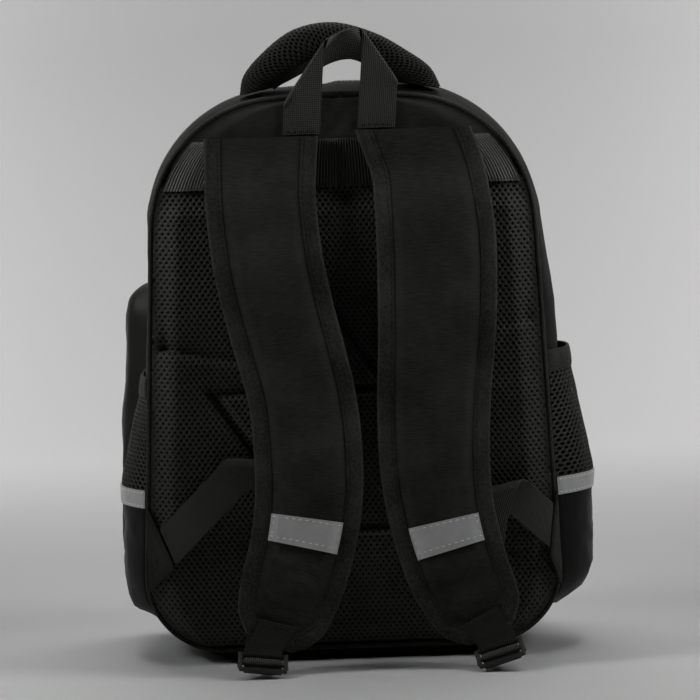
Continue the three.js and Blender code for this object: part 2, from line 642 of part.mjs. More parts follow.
// Shoulder strap as a moving frame: along its centre line, across it to the right, and out of its face
class Strap {
  constructor(rows) {
    this.rows = rows;
    this.curve = new THREE.CatmullRomCurve3(rows.map((row) => new THREE.Vector3(row.x, row.y, row.z)));
  }

  column(place, name) {
    const numbered = this.rows.map((row, k) => ({ k, value: row[name] }));
    return lookup(numbered, 'k', place, 'value');
  }

  frame(place) {
    const t = place / (this.rows.length - 1);
    const along = this.curve.getTangent(t);
    const across = new THREE.Vector3(0, -1, 0).cross(along).normalize();
    if (across.x < 0) across.negate();
    const square = THREE.MathUtils.clamp(1 - place / STRAP_SQUARE_ROWS, 0, 1);
    across.lerp(new THREE.Vector3(1, 0, 0), square).normalize();
    const out = new THREE.Vector3().crossVectors(across, along).normalize();
    if (out.y > 0) out.negate();
    return { centre: this.curve.getPoint(t), along, across, out };
  }

  point(place, side, out) {
    const f = this.frame(place);
    return f.centre.addScaledVector(f.across, side).addScaledVector(f.out, out);
  }

  // Half thickness of the pad, a given distance in from the strap's edge
  padHalf(place, inset) {
    const rise = THREE.MathUtils.smoothstep(inset, BINDING_WIDTH + GAP, PAD_RISE_INSET);
    return THREE.MathUtils.lerp(STRAP_EDGE_THICK, this.column(place, 'thick'), rise);
  }

  get places() {
    const steps = (this.rows.length - 1) * STRAP_STEPS_PER_ROW;
    return Array.from({ length: steps + 1 }, (_, k) => k / STRAP_STEPS_PER_ROW);
  }

  placeAtHeight(z) {
    const fine = Array.from({ length: 200 }, (_, k) => (k / 199) * (this.rows.length - 1));
    return fine.find((place) => this.point(place, 0, 0).z <= z);
  }
}

// Places across a strap at the given distances in from both of its edges, and at its middle
function mirrored(insets, half) {
  const left = insets.map((inset) => inset - half);
  return [...left, 0, ...left.map((side) => -side).reverse()];
}

function strapPad(strap) {
  const end = strap.rows.length - 1;
  const skin = (sign) => strap.places.map((place) => {
    const half = strap.column(place, 'half');
    const pull = place === end ? PAD_END_INSET : 0;
    const squeeze = Math.min(1, half / 30);
    const rim = place > end - STRAP_ROUND_ROWS + 1 ? PAD_END_INSET : PAD_EDGE_INSET;
    const insets = [rim, (BINDING_WIDTH + GAP) * squeeze, PAD_RISE_INSET * squeeze];
    const sides = mirrored(insets, half);
    return sides.map((side) => {
      const thick = strap.padHalf(place, (half - Math.abs(side)) / squeeze);
      const p = strap.point(place, side, sign * thick);
      return p.addScaledVector(strap.frame(place).along, -pull);
    });
  });
  return thickSheet(skin(1), skin(-1));
}

// Binding tape folded over the strap's edge: down one side, round the end and up the other
function strapBinding(strap) {
  const end = strap.rows.length - 1;
  const hub = strap.point(end - STRAP_ROUND_ROWS, 0, 0);
  const places = strap.places;
  const edge = [
    ...places.map((place) => ({ place, sign: -1 })),
    ...[...places].reverse().map((place) => ({ place, sign: 1 })),
  ];
  const skin = (thick) => edge.map(({ place, sign }) => {
    const half = strap.column(place, 'half');
    const f = strap.frame(place);
    const rim = strap.point(place, sign * half, 0);
    const aim = place > end - STRAP_ROUND_ROWS ? hub.clone() : f.centre.clone();
    const inward = aim.sub(rim);
    inward.addScaledVector(f.out, -inward.dot(f.out)).normalize();
    const at = (inset, out) => rim.clone().addScaledVector(inward, inset).addScaledVector(f.out, out);
    const level = BINDING_HALF - thick;
    return [at(BINDING_WIDTH, level), at(thick, level), at(thick, -level), at(BINDING_WIDTH, -level)];
  });
  return thickSheet(skin(0), skin(BINDING_THICK));
}

function strapReflector(strap, height) {
  const middle = strap.placeAtHeight(height);
  const spacing = strap.point(Math.floor(middle), 0, 0).distanceTo(strap.point(Math.floor(middle) + 1, 0, 0));
  const reach = STRAP_REFLECTOR_LENGTH / 2 / spacing;
  const rows = [-1, -0.5, 0, 0.5, 1].map((k) => middle + k * reach);
  const skin = (out) => rows.map((place) => {
    const half = strap.column(place, 'half');
    const insets = [BINDING_WIDTH + 2 * GAP, PAD_RISE_INSET];
    const sides = mirrored(insets, half);
    const level = (side) => strap.padHalf(place, half - Math.abs(side)) + GAP + out;
    return sides.map((side) => strap.point(place, side, level(side)));
  });
  return thickSheet(skin(REFLECTOR_THICK), skin(0));
}

// Ribbon through stations, each with a centre and half its width as a vector across it
function ribbon(stations, thick) {
  const skin = (sign) => stations.map(({ centre, across }, k) => {
    const before = stations[Math.max(k - 1, 0)].centre;
    const after = stations[Math.min(k + 1, stations.length - 1)].centre;
    const normal = new THREE.Vector3().subVectors(after, before).cross(across).setLength(thick / 2);
    const middle = centre.clone().addScaledVector(normal, sign);
    return [-1, 1].map((side) => middle.clone().addScaledVector(across, side));
  });
  return thickSheet(skin(1), skin(-1));
}

function upright(degrees) {
  const angle = THREE.MathUtils.degToRad(degrees);
  return new THREE.Vector3(Math.cos(angle), 0, Math.sin(angle));
}

// Slanted fold of a flat ribbon round an axis in the XZ plane, turning towards +Y,
// or towards -Y with back at -1
function slantedFold(start, heading, axis, radius, steps, width, back = 1) {
  const slide = heading.dot(axis);
  const rise = heading.clone().addScaledVector(axis, -slide);
  const climb = rise.length();
  rise.normalize();
  const across = axis.clone().multiplyScalar(width / 2 / climb);
  const stations = Array.from({ length: steps + 1 }, (_, k) => {
    const turn = (Math.PI * k) / steps;
    const centre = start.clone().addScaledVector(axis, (radius * turn * slide) / climb);
    centre.addScaledVector(rise, radius * Math.sin(turn));
    centre.y += back * radius * (1 - Math.cos(turn));
    return { centre, across: across.clone() };
  });
  return stations;
}

// Where the tab leaves the strap: the strap's own end, and the buckle bar hanging at its own slant
function strapEnd(strap, side) {
  const end = strap.frame(strap.rows.length - 1);
  const level = (degrees) => {
    const across = upright(degrees);
    return across.addScaledVector(end.out, -across.dot(end.out)).normalize();
  };
  const bar = end.centre.clone();
  bar.addScaledVector(end.along, BUCKLE_BAR.along).addScaledVector(end.out, BUCKLE_BAR.out);
  const across = level(BUCKLE_SLANT[side]);
  const down = new THREE.Vector3().crossVectors(end.out, across);
  if (down.z > 0) down.negate();
  return { ...end, bar, across, down, tabTop: level(TAB_SLANT[side]) };
}

function tabStations(end) {
  return TAB_PATH.map((row, k) => {
    const round = row.along > BUCKLE_BAR.along - 4;
    const centre = round ? end.bar.clone() : end.centre.clone();
    const along = round ? row.along - BUCKLE_BAR.along : row.along;
    const out = round ? row.out - BUCKLE_BAR.out : row.out;
    centre.addScaledVector(round ? end.down : end.along, along).addScaledVector(end.out, out);
    const across = (k === 0 ? end.tabTop : end.across).clone().multiplyScalar(WEBBING_WIDTH / 2);
    return { centre, across };
  });
}

// Frame of the buckle at its top bar: along it towards its free end, and out of its face
function buckleFrame(end) {
  const along = end.down.clone().multiplyScalar(Math.cos(BUCKLE_TILT));
  along.addScaledVector(end.out, Math.sin(BUCKLE_TILT)).normalize();
  const out = new THREE.Vector3().crossVectors(end.across, along).normalize();
  if (out.dot(end.out) < 0) out.negate();
  return { centre: end.bar.clone(), along, across: end.across.clone(), out };
}

function addBuckle(name, frame) {
  const half = BUCKLE_WIDTH / 2;
  const low = BUCKLE_BARS[0].from;
  const high = BUCKLE_BARS[BUCKLE_BARS.length - 1].to;
  const outline = new THREE.Shape();
  outline.moveTo(-half, low);
  outline.lineTo(half, low);
  outline.lineTo(half, high - BUCKLE_CORNER);
  outline.lineTo(half - BUCKLE_CORNER, high);
  outline.lineTo(BUCKLE_CORNER - half, high);
  outline.lineTo(-half, high - BUCKLE_CORNER);
  outline.holes = BUCKLE_BARS.slice(1).map((bar, k) => {
    const slot = new THREE.Path();
    const from = BUCKLE_BARS[k].to;
    slot.moveTo(BUCKLE_RAIL - half, from);
    slot.lineTo(BUCKLE_RAIL - half, bar.from);
    slot.lineTo(half - BUCKLE_RAIL, bar.from);
    slot.lineTo(half - BUCKLE_RAIL, from);
    slot.closePath();
    return slot;
  });
  outline.closePath();
  const geometry = new THREE.ExtrudeGeometry(outline, { depth: BUCKLE_THICK, bevelEnabled: false });
  geometry.translate(0, 0, -BUCKLE_THICK / 2);
  const facing = new THREE.Vector3().crossVectors(frame.across, frame.along);
  const mesh = add(name, geometry, 'plastic');
  mesh.position.copy(frame.centre);
  mesh.quaternion.setFromRotationMatrix(new THREE.Matrix4().makeBasis(frame.across, frame.along, facing));
}

// Adjuster webbing stations from the wing to its tail under the buckle
function adjusterStations(side, end, buckle) {
  const row = ADJUSTERS[side];
  const wing = WINGS[side].map((p) => new THREE.Vector3(...p));
  const heading = upright(row.heading);
  const axis = upright(row.axis);
  const start = new THREE.Vector3(row.x, row.y, row.z);
  const top = start.clone().addScaledVector(heading, row.length).setY(row.endY);
  const steps = ADJUSTER_FOLD_STEPS;
  const fold = slantedFold(top, heading, axis, ADJUSTER_FOLD_RADIUS, steps, WEBBING_WIDTH, row.fold);
  const sign = Math.sign(fold[0].across.dot(upright(row.heading + 90)));
  fold.forEach((station) => station.across.multiplyScalar(sign));
  const hem = new THREE.Vector3().subVectors(wing[0], wing[1]);
  const slant = Math.sin(hem.angleTo(heading));
  start.addScaledVector(heading, GAP + WING_THICK / 2);
  const first = { centre: start, across: hem.setLength(WEBBING_WIDTH / 2 / slant) };
  if (first.across.dot(fold[0].across) < 0) first.across.negate();

  const turned = 2 * row.axis - row.heading;
  const last = fold[fold.length - 1].centre;
  const tail = ADJUSTER_TAIL.map((step) => {
    const centre = buckle.centre.clone().addScaledVector(buckle.along, step.along);
    return { centre: centre.addScaledVector(buckle.out, step.out), across: buckle.across.clone() };
  });
  const entry = end.bar.clone();
  entry.addScaledVector(end.down, ADJUSTER_DROP_END.along).addScaledVector(end.out, ADJUSTER_DROP_END.out);
  const leave = upright(turned).multiplyScalar(last.distanceTo(entry) / 2);
  const arrive = end.down.clone().multiplyScalar(last.distanceTo(entry) / 2);
  const middleA = last.clone().addScaledVector(leave, 2 / 3);
  const middleB = entry.clone().addScaledVector(arrive, -2 / 3);
  const drop = new THREE.CubicBezierCurve3(last, middleA, middleB, entry);
  const away = Array.from({ length: ADJUSTER_DROP_STEPS }, (_, k) => {
    const t = (k + 1) / ADJUSTER_DROP_STEPS;
    return { centre: drop.getPoint(t), across: upright(turned + row.sweep * t - 90) };
  });
  const behind = away.map((station) => station.across).concat(tail.map((station) => station.across));
  let guide = fold[fold.length - 1].across;
  for (const across of behind) {
    if (across.dot(guide) < 0) across.negate();
    across.setLength(WEBBING_WIDTH / 2);
    guide = across;
  }
  return [first, ...fold, ...away, ...tail];
}

function addStrap(side, rows) {
  const strap = new Strap(rows);
  add(`strap_pad_${side}`, strapPad(strap), 'polyester');
  add(`strap_binding_${side}`, strapBinding(strap), 'binding');
  add(`strap_reflector_${side}`, strapReflector(strap, STRAP_REFLECTOR_Z[side]), 'reflective');
  const end = strapEnd(strap, side);
  const buckle = buckleFrame(end);
  add(`strap_tab_${side}`, ribbon(tabStations(end), TAB_THICK), 'webbing');
  addBuckle(`strap_buckle_${side}`, buckle);
  add(`adjuster_webbing_${side}`, ribbon(adjusterStations(side, end, buckle), TAB_THICK), 'webbing');
  add(`wing_${side}`, plate(WINGS[side].map((p) => new THREE.Vector3(...p)), WING_THICK), 'polyester');
}

function addHandle() {
  const edge = (x, z) => new THREE.CatmullRomCurve3(
    HANDLE_SECTIONS.map((row) => new THREE.Vector3(row[x], HANDLE_Y, row[z])));
  const outer = edge('outerX', 'outerZ');
  const inner = edge('innerX', 'innerZ');
  const numbered = HANDLE_SECTIONS.map((row, k) => ({ k, depth: row.depth }));
  const rings = Array.from({ length: HANDLE_STEPS + 1 }, (_, k) => {
    const t = k / HANDLE_STEPS;
    const top = outer.getPoint(t);
    const low = inner.getPoint(t);
    const depth = lookup(numbered, 'k', t * (HANDLE_SECTIONS.length - 1), 'depth');
    return Array.from({ length: HANDLE_SIDES }, (__, s) => {
      const angle = (2 * Math.PI * s) / HANDLE_SIDES;
      const p = low.clone().lerp(top, 0.5 + 0.5 * Math.cos(angle));
      p.y += (depth / 2) * Math.sin(angle);
      return p;
    });
  });
  add('handle_pad', ringLoft(rings, false), 'airMesh');
}

function hangLoopLeg(side) {
  const leg = LOOP_LEGS[side];
  const foot = new THREE.Vector3(leg.x, LOOP_FOOT_Y, leg.z);
  const top = new THREE.Vector3(leg.topX, LOOP_TOP_Y, leg.topZ);
  const heading = new THREE.Vector3().subVectors(top, foot).setY(0).normalize();
  const fold = slantedFold(top, heading, upright(leg.axis), LOOP_FOLD_RADIUS, LOOP_FOLD_STEPS, WEBBING_WIDTH);
  const across = new THREE.Vector3(1, 0, 0).multiplyScalar(WEBBING_WIDTH / 2);
  if (fold[0].across.x < 0) fold.forEach((station) => station.across.negate());
  return [{ centre: foot, across }, ...fold];
}

function addHangLoop() {
  const left = hangLoopLeg('left');
  const right = hangLoopLeg('right').reverse();
  const edgeOf = (station, sign) => station.centre.clone().addScaledVector(station.across, sign);
  const from = left[left.length - 1];
  const to = right[0];
  const run = Array.from({ length: LOOP_RUN_STEPS - 1 }, (_, k) => {
    const t = (k + 1) / LOOP_RUN_STEPS;
    const arch = 4 * t * (1 - t);
    const top = edgeOf(from, 1).lerp(edgeOf(to, -1), t);
    const low = edgeOf(from, -1).lerp(edgeOf(to, 1), t);
    top.z += LOOP_RUN_RISE.top * arch;
    low.z += LOOP_RUN_RISE.low * arch;
    top.y += LOOP_RUN_LEAN.top * arch;
    low.y += LOOP_RUN_LEAN.low * arch;
    const across = new THREE.Vector3().subVectors(top, low).divideScalar(2);
    return { centre: low.lerp(top, 0.5), across };
  });
  right.forEach((station) => station.across.negate());
  add('hang_loop', ribbon([...left, ...run, ...right], WEBBING_THICK), 'webbing');
}

// Zip slider with its pull, lying along the zip at one point of a seam line
function addSlider(name, centre, along, out) {
  const body = new THREE.Shape();
  const halfBody = SLIDER_BODY.width / 2;
  const halfPull = SLIDER_PULL.width / 2;
  const end = SLIDER_BODY.length + SLIDER_PULL.length;
  body.moveTo(0, -halfBody);
  body.lineTo(SLIDER_BODY.length, -halfPull);
  body.lineTo(end - halfPull, -halfPull);
  body.lineTo(end, 0);
  body.lineTo(end - halfPull, halfPull);
  body.lineTo(SLIDER_BODY.length, halfPull);
  body.lineTo(0, halfBody);
  body.closePath();
  const geometry = new THREE.ExtrudeGeometry(body, { depth: SLIDER_THICK, bevelEnabled: false });
  const mesh = add(name, geometry, 'metal');
  const across = new THREE.Vector3().crossVectors(out, along);
  mesh.position.copy(centre);
  mesh.quaternion.setFromRotationMatrix(new THREE.Matrix4().makeBasis(along, across, out));
}

function addSliders() {
  const miss = (p) => Math.abs(p.x - MAIN_SLIDER_X) + (p.nz < 0 ? 1000 : 0);
  const spot = bagSeam.reduce((best, p) => (miss(p) < miss(best) ? p : best));
  const along = new THREE.Vector3(-spot.nz, 0, spot.nx);
  const start = gussetPoint(spot, ZIP_Y, -0.5);
  start.addScaledVector(along, -(SLIDER_BODY.length + SLIDER_PULL.length) / 2);
  addSlider('main_zip_slider', start, along, new THREE.Vector3(spot.nx, 0, spot.nz));
  const rear = POCKET_GUSSET[POCKET_GUSSET.length - 1];
  const pocketTop = Math.max(...pocketSeam.map((_, k) => frontPocketPoint(k, rear, 0).z));
  const middle = new THREE.Vector3(POCKET_LEAN_X, rear.y + GAP + POCKET_ZIP_WIDTH / 2, pocketTop + GAP);
  addSlider('front_zip_slider', middle, new THREE.Vector3(1, 0, 0), new THREE.Vector3(0, 0, 1));
}

addBackPanel();
add('back_piping', piping(BACK_SEAM_Y - PIPING_RADIUS - GAP), 'binding');
addGussets();
addFrontPanel();
add('front_piping', piping(FRONT_SEAM_Y + PIPING_RADIUS + GAP), 'binding');
addFrontPocket();
for (const side of ['left', 'right']) addSidePocket(side);
addStrap('left', STRAP_LEFT);
addStrap('right', STRAP_RIGHT);
addHandle();
addHangLoop();
addSliders();

export default backpack;
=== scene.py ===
import math

import bmesh
import bpy
import numpy as np
from mathutils import Matrix, Vector, noise


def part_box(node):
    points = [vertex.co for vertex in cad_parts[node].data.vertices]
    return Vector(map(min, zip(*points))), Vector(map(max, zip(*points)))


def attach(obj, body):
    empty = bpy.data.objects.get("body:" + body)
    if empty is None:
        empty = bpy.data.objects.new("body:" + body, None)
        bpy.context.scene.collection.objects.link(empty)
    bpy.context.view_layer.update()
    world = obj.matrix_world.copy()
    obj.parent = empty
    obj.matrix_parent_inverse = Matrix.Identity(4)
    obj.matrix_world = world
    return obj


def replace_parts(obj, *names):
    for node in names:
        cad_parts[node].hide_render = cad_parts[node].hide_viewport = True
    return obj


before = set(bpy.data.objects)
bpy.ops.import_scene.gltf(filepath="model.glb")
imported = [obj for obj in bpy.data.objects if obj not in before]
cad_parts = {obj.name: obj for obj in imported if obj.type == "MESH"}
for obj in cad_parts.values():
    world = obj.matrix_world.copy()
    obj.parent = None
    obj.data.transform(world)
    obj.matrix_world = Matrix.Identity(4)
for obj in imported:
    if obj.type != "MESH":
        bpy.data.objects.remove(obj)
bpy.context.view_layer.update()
scene = bpy.context.scene
scene.view_settings.view_transform = "Standard"
mm = 0.001  # the tables below are in millimetres, the lights in metres


# finishes: shader maths as expressions
class Wire:
    def __init__(self, finish, socket):
        self.finish, self.socket = finish, socket

    def calc(self, operation, other, swapped=False):
        pair = (other, self) if swapped else (self, other)
        return self.finish.node("Math", {"operation": operation}, *pair)

    def __add__(self, other):
        return self.calc("ADD", other)

    def __radd__(self, other):
        return self.calc("ADD", other, True)

    def __sub__(self, other):
        return self.calc("SUBTRACT", other)

    def __rsub__(self, other):
        return self.calc("SUBTRACT", other, True)

    def __mul__(self, other):
        return self.calc("MULTIPLY", other)

    def __rmul__(self, other):
        return self.calc("MULTIPLY", other, True)

    def pick(self, name):  # another output of the same node
        return Wire(self.finish, self.socket.node.outputs[name])


class Finish:
    def __init__(self, name, shader):
        self.material = bpy.data.materials.new(name)
        self.material.use_nodes = True
        self.tree = self.material.node_tree
        self.tree.nodes.clear()
        self.shader = self.tree.nodes.new("ShaderNodeBsdfPrincipled")
        output = self.tree.nodes.new("ShaderNodeOutputMaterial")
        self.tree.links.new(self.shader.outputs[0], output.inputs[0])
        self.set(shader)

    def set(self, values):
        for name, value in values.items():
            self.feed(self.shader.inputs[name], value)

    def feed(self, socket, value):
        if isinstance(value, Wire):
            self.tree.links.new(value.socket, socket)
        else:
            socket.default_value = value

    def node(self, kind, settings, *values):
        made = self.tree.nodes.new("ShaderNode" + kind)
        for name, value in settings.items():
            setattr(made, name, value)
        for socket, value in zip([s for s in made.inputs if s.enabled], values):
            self.feed(socket, value)
        return Wire(self, next(s for s in made.outputs if s.enabled))

    def grid(self):  # millimetres along and across the cloth
        split = self.node("SeparateXYZ", {}, self.node("UVMap", {"uv_map": "weave"}))
        return split, split.pick("Y")

    def sine(self, wire, pitch):
        return self.node("Math", {"operation": "SINE"}, wire * (2 * math.pi / pitch))

    def cloud(self, size, detail=2.0):  # soft patches, size in millimetres
        place = self.node("TexCoord", {}).pick("Object")
        return self.node("TexNoise", {}, place, 1 / (size * mm), detail)

    def streaks(self, thin, long):  # uneven yarns lying across the cloth
        along, across = self.grid()
        place = self.node("CombineXYZ", {}, along * (1 / thin), across * (1 / long))
        return self.node("TexNoise", {}, place, 1.0, 3.0)

    def tint(self, share, low, high):
        return self.node("Mix", {"data_type": "RGBA"}, share, (*low, 1), (*high, 1))

    def spread(self, wire, low, high):
        return self.node("MapRange", {}, wire, 0.3, 0.7, low, high)

    def bump(self, height, strength, depth):
        return self.node("Bump", {}, strength, depth * mm, 1.0, height)


def clothFinish(name, dark, light, pitch, rough, sheen, strength=0.5, twill=False, gloss=0.08, middle=None):
    made = Finish(name, {"Sheen Weight": sheen, "Sheen Roughness": 0.45, "Specular IOR Level": gloss})
    along, across = made.grid()
    if twill:
        weave = made.sine(along + across, pitch) * 0.35 + made.sine(across, pitch * 0.5) * 0.15 + 0.5
    else:
        weave = made.sine(along, pitch) * made.sine(across, pitch) * 0.5 + 0.5
    slub = made.cloud(1.7, 3.0) if twill else made.streaks(1.0, 7.0)
    worn = made.cloud(38, 3.0)  # large faint patches
    height = weave * 0.5 + slub * 0.7
    mixed = made.node("MapRange", {}, worn * 0.5 + slub * 0.4 + weave * 0.1, 0.34, 0.66)
    colour = made.tint(mixed, dark, light)
    if middle:  # painted shade: darker between the straps, where they shade the cloth
        near, far, shade = middle
        place = made.node("SeparateXYZ", {}, made.node("TexCoord", {}).pick("Object"))
        off = made.node("Math", {"operation": "ABSOLUTE"}, place)
        share = made.node("MapRange", {}, off, near * mm, far * mm)
        colour = made.node("Mix", {"data_type": "RGBA"}, share, (*grey(shade, shade)[0], 1), colour)
    made.set({
        "Base Color": colour,
        "Roughness": made.spread(worn * 0.5 + weave * 0.5, rough + 0.07, rough - 0.07),
        "Normal": made.bump(height, strength, 0.28),
    })
    return made


def webbingFinish(name, dark, light, pitch):
    made = Finish(name, {"Sheen Weight": 0.02, "Sheen Roughness": 0.4, "Specular IOR Level": 0.12})
    along, across = made.grid()
    warp, weft = made.sine(across, pitch) * 0.5 + 0.5, made.sine(along, pitch * 1.12) * 0.5 + 0.5
    weave = warp * weft * 0.8 + warp * 0.2  # raised floats between dark gaps
    slub = made.cloud(2.2, 3.0)
    mixed = made.node("MapRange", {}, weave * 0.85 + slub * 0.15, 0.1, 0.75)
    made.set({
        "Base Color": made.tint(mixed, dark, light),
        "Roughness": made.spread(weave, 0.66, 0.5),
        "Normal": made.bump(weave, 0.8, 0.4),
    })
    return made


def knitFinish(name, dark, light):
    made = Finish(name, {"Sheen Weight": 0.02, "Sheen Roughness": 0.5, "Specular IOR Level": 0.1})
    along, across = made.grid()
    loops = made.sine(along + across * 0.4, 0.62) * made.sine(across, 0.8) * 0.5 + 0.5
    worn = made.cloud(45, 3.0)
    made.set({
        "Base Color": made.tint(made.spread(worn * 0.7 + loops * 0.3, 0.0, 1.0), dark, light),
        "Roughness": made.spread(loops, 0.68, 0.5),
        "Normal": made.bump(loops, 0.5, 0.2),
    })
    return made


def tapeFinish():  # grey reflective tape: fine beads over faint diamonds
    made = Finish("reflectiveTape", {"Specular IOR Level": 0.6, "Sheen Weight": 0.05})
    along, across = made.grid()
    diamond = made.sine(along + across, 2.6) * made.sine(along - across, 2.6) * 0.5 + 0.5
    beads = made.cloud(0.35, 2.0)
    scuff = made.cloud(9, 5.0)
    made.set({
        "Base Color": made.tint(made.spread(scuff * 0.55 + beads * 0.25 + diamond * 0.2, 0.0, 1.0),
                                (0.44, 0.441, 0.451), (0.56, 0.561, 0.573)),
        "Metallic": made.spread(beads, 0.12, 0.3),
        "Roughness": made.spread(scuff * 0.6 + beads * 0.4, 0.5, 0.36),
        "Normal": made.bump(beads * 0.6 + diamond * 0.4, 0.25, 0.12),
    })
    return made


def mouldedFinish(name, dark, light, rough, coat=0.0):
    made = Finish(name, {"Specular IOR Level": 0.5, "Coat Weight": coat})
    grain = made.cloud(0.6, 3.0)
    worn = made.cloud(12, 4.0)
    made.set({
        "Base Color": made.tint(made.spread(worn, 0.0, 1.0), dark, light),
        "Roughness": made.spread(worn * 0.6 + grain * 0.4, rough + 0.08, rough - 0.06),
        "Normal": made.bump(grain, 0.25, 0.08),
    })
    return made


def grey(low, high=None):  # one faintly warm grey, or a dark and a light one
    return (low * 0.99, low, low * 0.9) if high is None else (grey(low), grey(high))


polyester = clothFinish("wovenPolyester", *grey(0.005, 0.011), pitch=0.85, rough=0.74, sheen=0.02)
strapCloth = clothFinish("strapPolyester", *grey(0.013, 0.037), pitch=0.85, rough=0.72, sheen=0.04,
                         strength=0.8)
# painted shade: the side-pocket bases get a darker copy of the polyester, dark beside the bag as in shade
shadedPocketCloth = clothFinish("shadedPocketPolyester", *grey(0.003, 0.007), pitch=0.85, rough=0.72, sheen=0.16)
satin = clothFinish("coatedCloth", *grey(0.01, 0.02), pitch=0.7, rough=0.52, sheen=0.02, strength=0.22,
                    gloss=0.22)
bindingTape = clothFinish("twillBinding", *grey(0.007, 0.05), pitch=1.1, rough=0.72, sheen=0.04, strength=0.8,
                          twill=True)
webbing = webbingFinish("wovenWebbing", *grey(0.024, 0.085), pitch=1.3)
tabWebbing = webbingFinish("tabWebbing", *grey(0.014, 0.04), pitch=1.3)
# the ribbed band gets painted shade between the straps through middle
ribTape = clothFinish("ribbedTape", *grey(0.1, 0.18), pitch=0.5, rough=0.6, sheen=0.04, middle=(30, 62, 0.03))
meshKnit = knitFinish("airMeshKnit", *grey(0.032, 0.05))
# painted shade: the handle knit is a darker copy of the air-mesh knit, toned down for the light on the
# handle's top
shadedHandleKnit = knitFinish("shadedHandleMeshKnit", *grey(0.015, 0.024))
meshBack = knitFinish("airMeshBacking", *grey(0.0015, 0.003))
reflective = tapeFinish()
thread = clothFinish("blackThread", *grey(0.007, 0.016), pitch=0.5, rough=0.5, sheen=0.1, strength=0.4,
                     twill=True)
paleThread = clothFinish("paleThread", *grey(0.75, 0.95), pitch=0.5, rough=0.6, sheen=0.2, strength=0.4,
                         twill=True)
nylon = mouldedFinish("buckleNylon", *grey(0.007, 0.011), rough=0.52)
coil = mouldedFinish("zipCoil", *grey(0.006, 0.011), rough=0.42)
lacquer = mouldedFinish("blackLacquer", *grey(0.008, 0.014), rough=0.42, coat=0.2)
print("finishes ready")


# meshes
def smooth(low, high, value):
    t = np.clip((np.asarray(value, float) - low) / (high - low), 0, 1)
    return t * t * (3 - 2 * t)


def unit(vectors):
    return vectors / np.maximum(np.linalg.norm(vectors, axis=-1, keepdims=True), 1e-9)


def throughPoints(points, places):  # smooth curve; a place counts the points along it
    points, places = np.asarray(points, float), np.asarray(places, float)
    row = np.vstack([2 * points[0] - points[1], points, 2 * points[-1] - points[-2]])
    k = np.clip(np.floor(places).astype(int), 0, len(points) - 2)
    w = (places - k)[:, None]
    a, b, c, d = (row[k + step] for step in range(4))
    reach = lambda p, q: np.maximum(np.linalg.norm(q - p, axis=1) ** 0.5, 1e-4)[:, None]
    ab, bc, cd = reach(a, b), reach(b, c), reach(c, d)
    leave = ((b - a) / ab - (c - a) / (ab + bc) + (c - b) / bc) * bc
    arrive = ((c - b) / bc - (d - b) / (bc + cd) + (d - c) / cd) * bc
    square, cube = 3 * c - 3 * b - 2 * leave - arrive, 2 * b - 2 * c + leave + arrive
    return b + leave * w + square * w**2 + cube * w**3


def throughValues(values, places):
    return throughPoints([(k * 100.0, value) for k, value in enumerate(values)], places)[:, 1]


def softNoise(points, size, seed=0.0):
    flat = np.asarray(points, float).reshape(-1, 3) / size + seed
    return np.array([noise.noise(p) for p in flat.tolist()]).reshape(np.shape(points)[:-1])


def makePiece(name, points, faces, finish, cornerUv=None, sharp=55, weld=False):
    mesh = bpy.data.meshes.new(name)
    mesh.from_pydata((np.asarray(points, float) * mm).tolist(), [], faces)
    if cornerUv is not None:
        layer = mesh.uv_layers.new(name="weave")
        layer.uv.foreach_set("vector", np.asarray(cornerUv, np.float32).ravel())
    if weld:
        work = bmesh.new()
        work.from_mesh(mesh)
        bmesh.ops.remove_doubles(work, verts=work.verts, dist=2e-6)
        bmesh.ops.recalc_face_normals(work, faces=work.faces)
        work.to_mesh(mesh)
        work.free()
    mesh.polygons.foreach_set("use_smooth", [True] * len(mesh.polygons))
    mesh.set_sharp_from_angle(angle=math.radians(sharp))
    mesh.materials.append(finish.material)
    piece = bpy.data.objects.new(name, mesh)
    scene.collection.objects.link(piece)
    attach(piece, "root")
    return piece


def sheetPiece(name, front, back, finish, wrap=False, sharp=55, width=None):
    rows, cols = front.shape[:2]
    steps = rows if wrap else rows - 1
    reach = np.linalg.norm(np.roll(front, -1, 0) - front, axis=2)
    reach = reach if width else np.tile(reach.mean(1, keepdims=True), cols)
    along = np.vstack([np.zeros(cols), np.cumsum(reach, 0)])
    across = np.concatenate([[0], np.cumsum(np.linalg.norm(np.diff(front, axis=1), axis=2).mean(0))])
    across *= width / across[-1] if width else 1  # a ribbon keeps its own width round a slanting fold
    quads = []

    def quad(*corners):  # each corner: front 0 or back 1, row, column
        made = [np.broadcast_arrays((s * rows + i % rows) * cols + j, i, j) for s, i, j in corners]
        quads.append(np.stack([np.stack(corner, -1) for corner in made], -2).reshape(-1, 4, 3))

    i, j = np.meshgrid(np.arange(steps), np.arange(cols - 1), indexing="ij")
    quad((0, i, j), (0, i + 1, j), (0, i + 1, j + 1), (0, i, j + 1))
    quad((1, i, j), (1, i, j + 1), (1, i + 1, j + 1), (1, i + 1, j))
    i, end = np.arange(steps), np.full(steps, cols - 1)
    quad((0, i, end * 0), (1, i, end * 0), (1, i + 1, end * 0), (0, i + 1, end * 0))
    quad((0, i, end), (0, i + 1, end), (1, i + 1, end), (1, i, end))
    if not wrap:
        j, end = np.arange(cols - 1), np.full(cols - 1, steps)
        quad((0, end * 0, j), (0, end * 0, j + 1), (1, end * 0, j + 1), (1, end * 0, j))
        quad((0, end, j), (1, end, j), (1, end, j + 1), (0, end, j + 1))
    quads = np.concatenate(quads)
    uv = np.stack([along[quads[..., 1], quads[..., 2]], across[quads[..., 2]]], -1)
    points = np.concatenate([front.reshape(-1, 3), back.reshape(-1, 3)])
    piece = makePiece(name, points, quads[..., 0].tolist(), finish, uv, sharp, weld=True)
    piece["cut"] = (across[-1] * mm, along[steps].mean() * mm)
    return piece


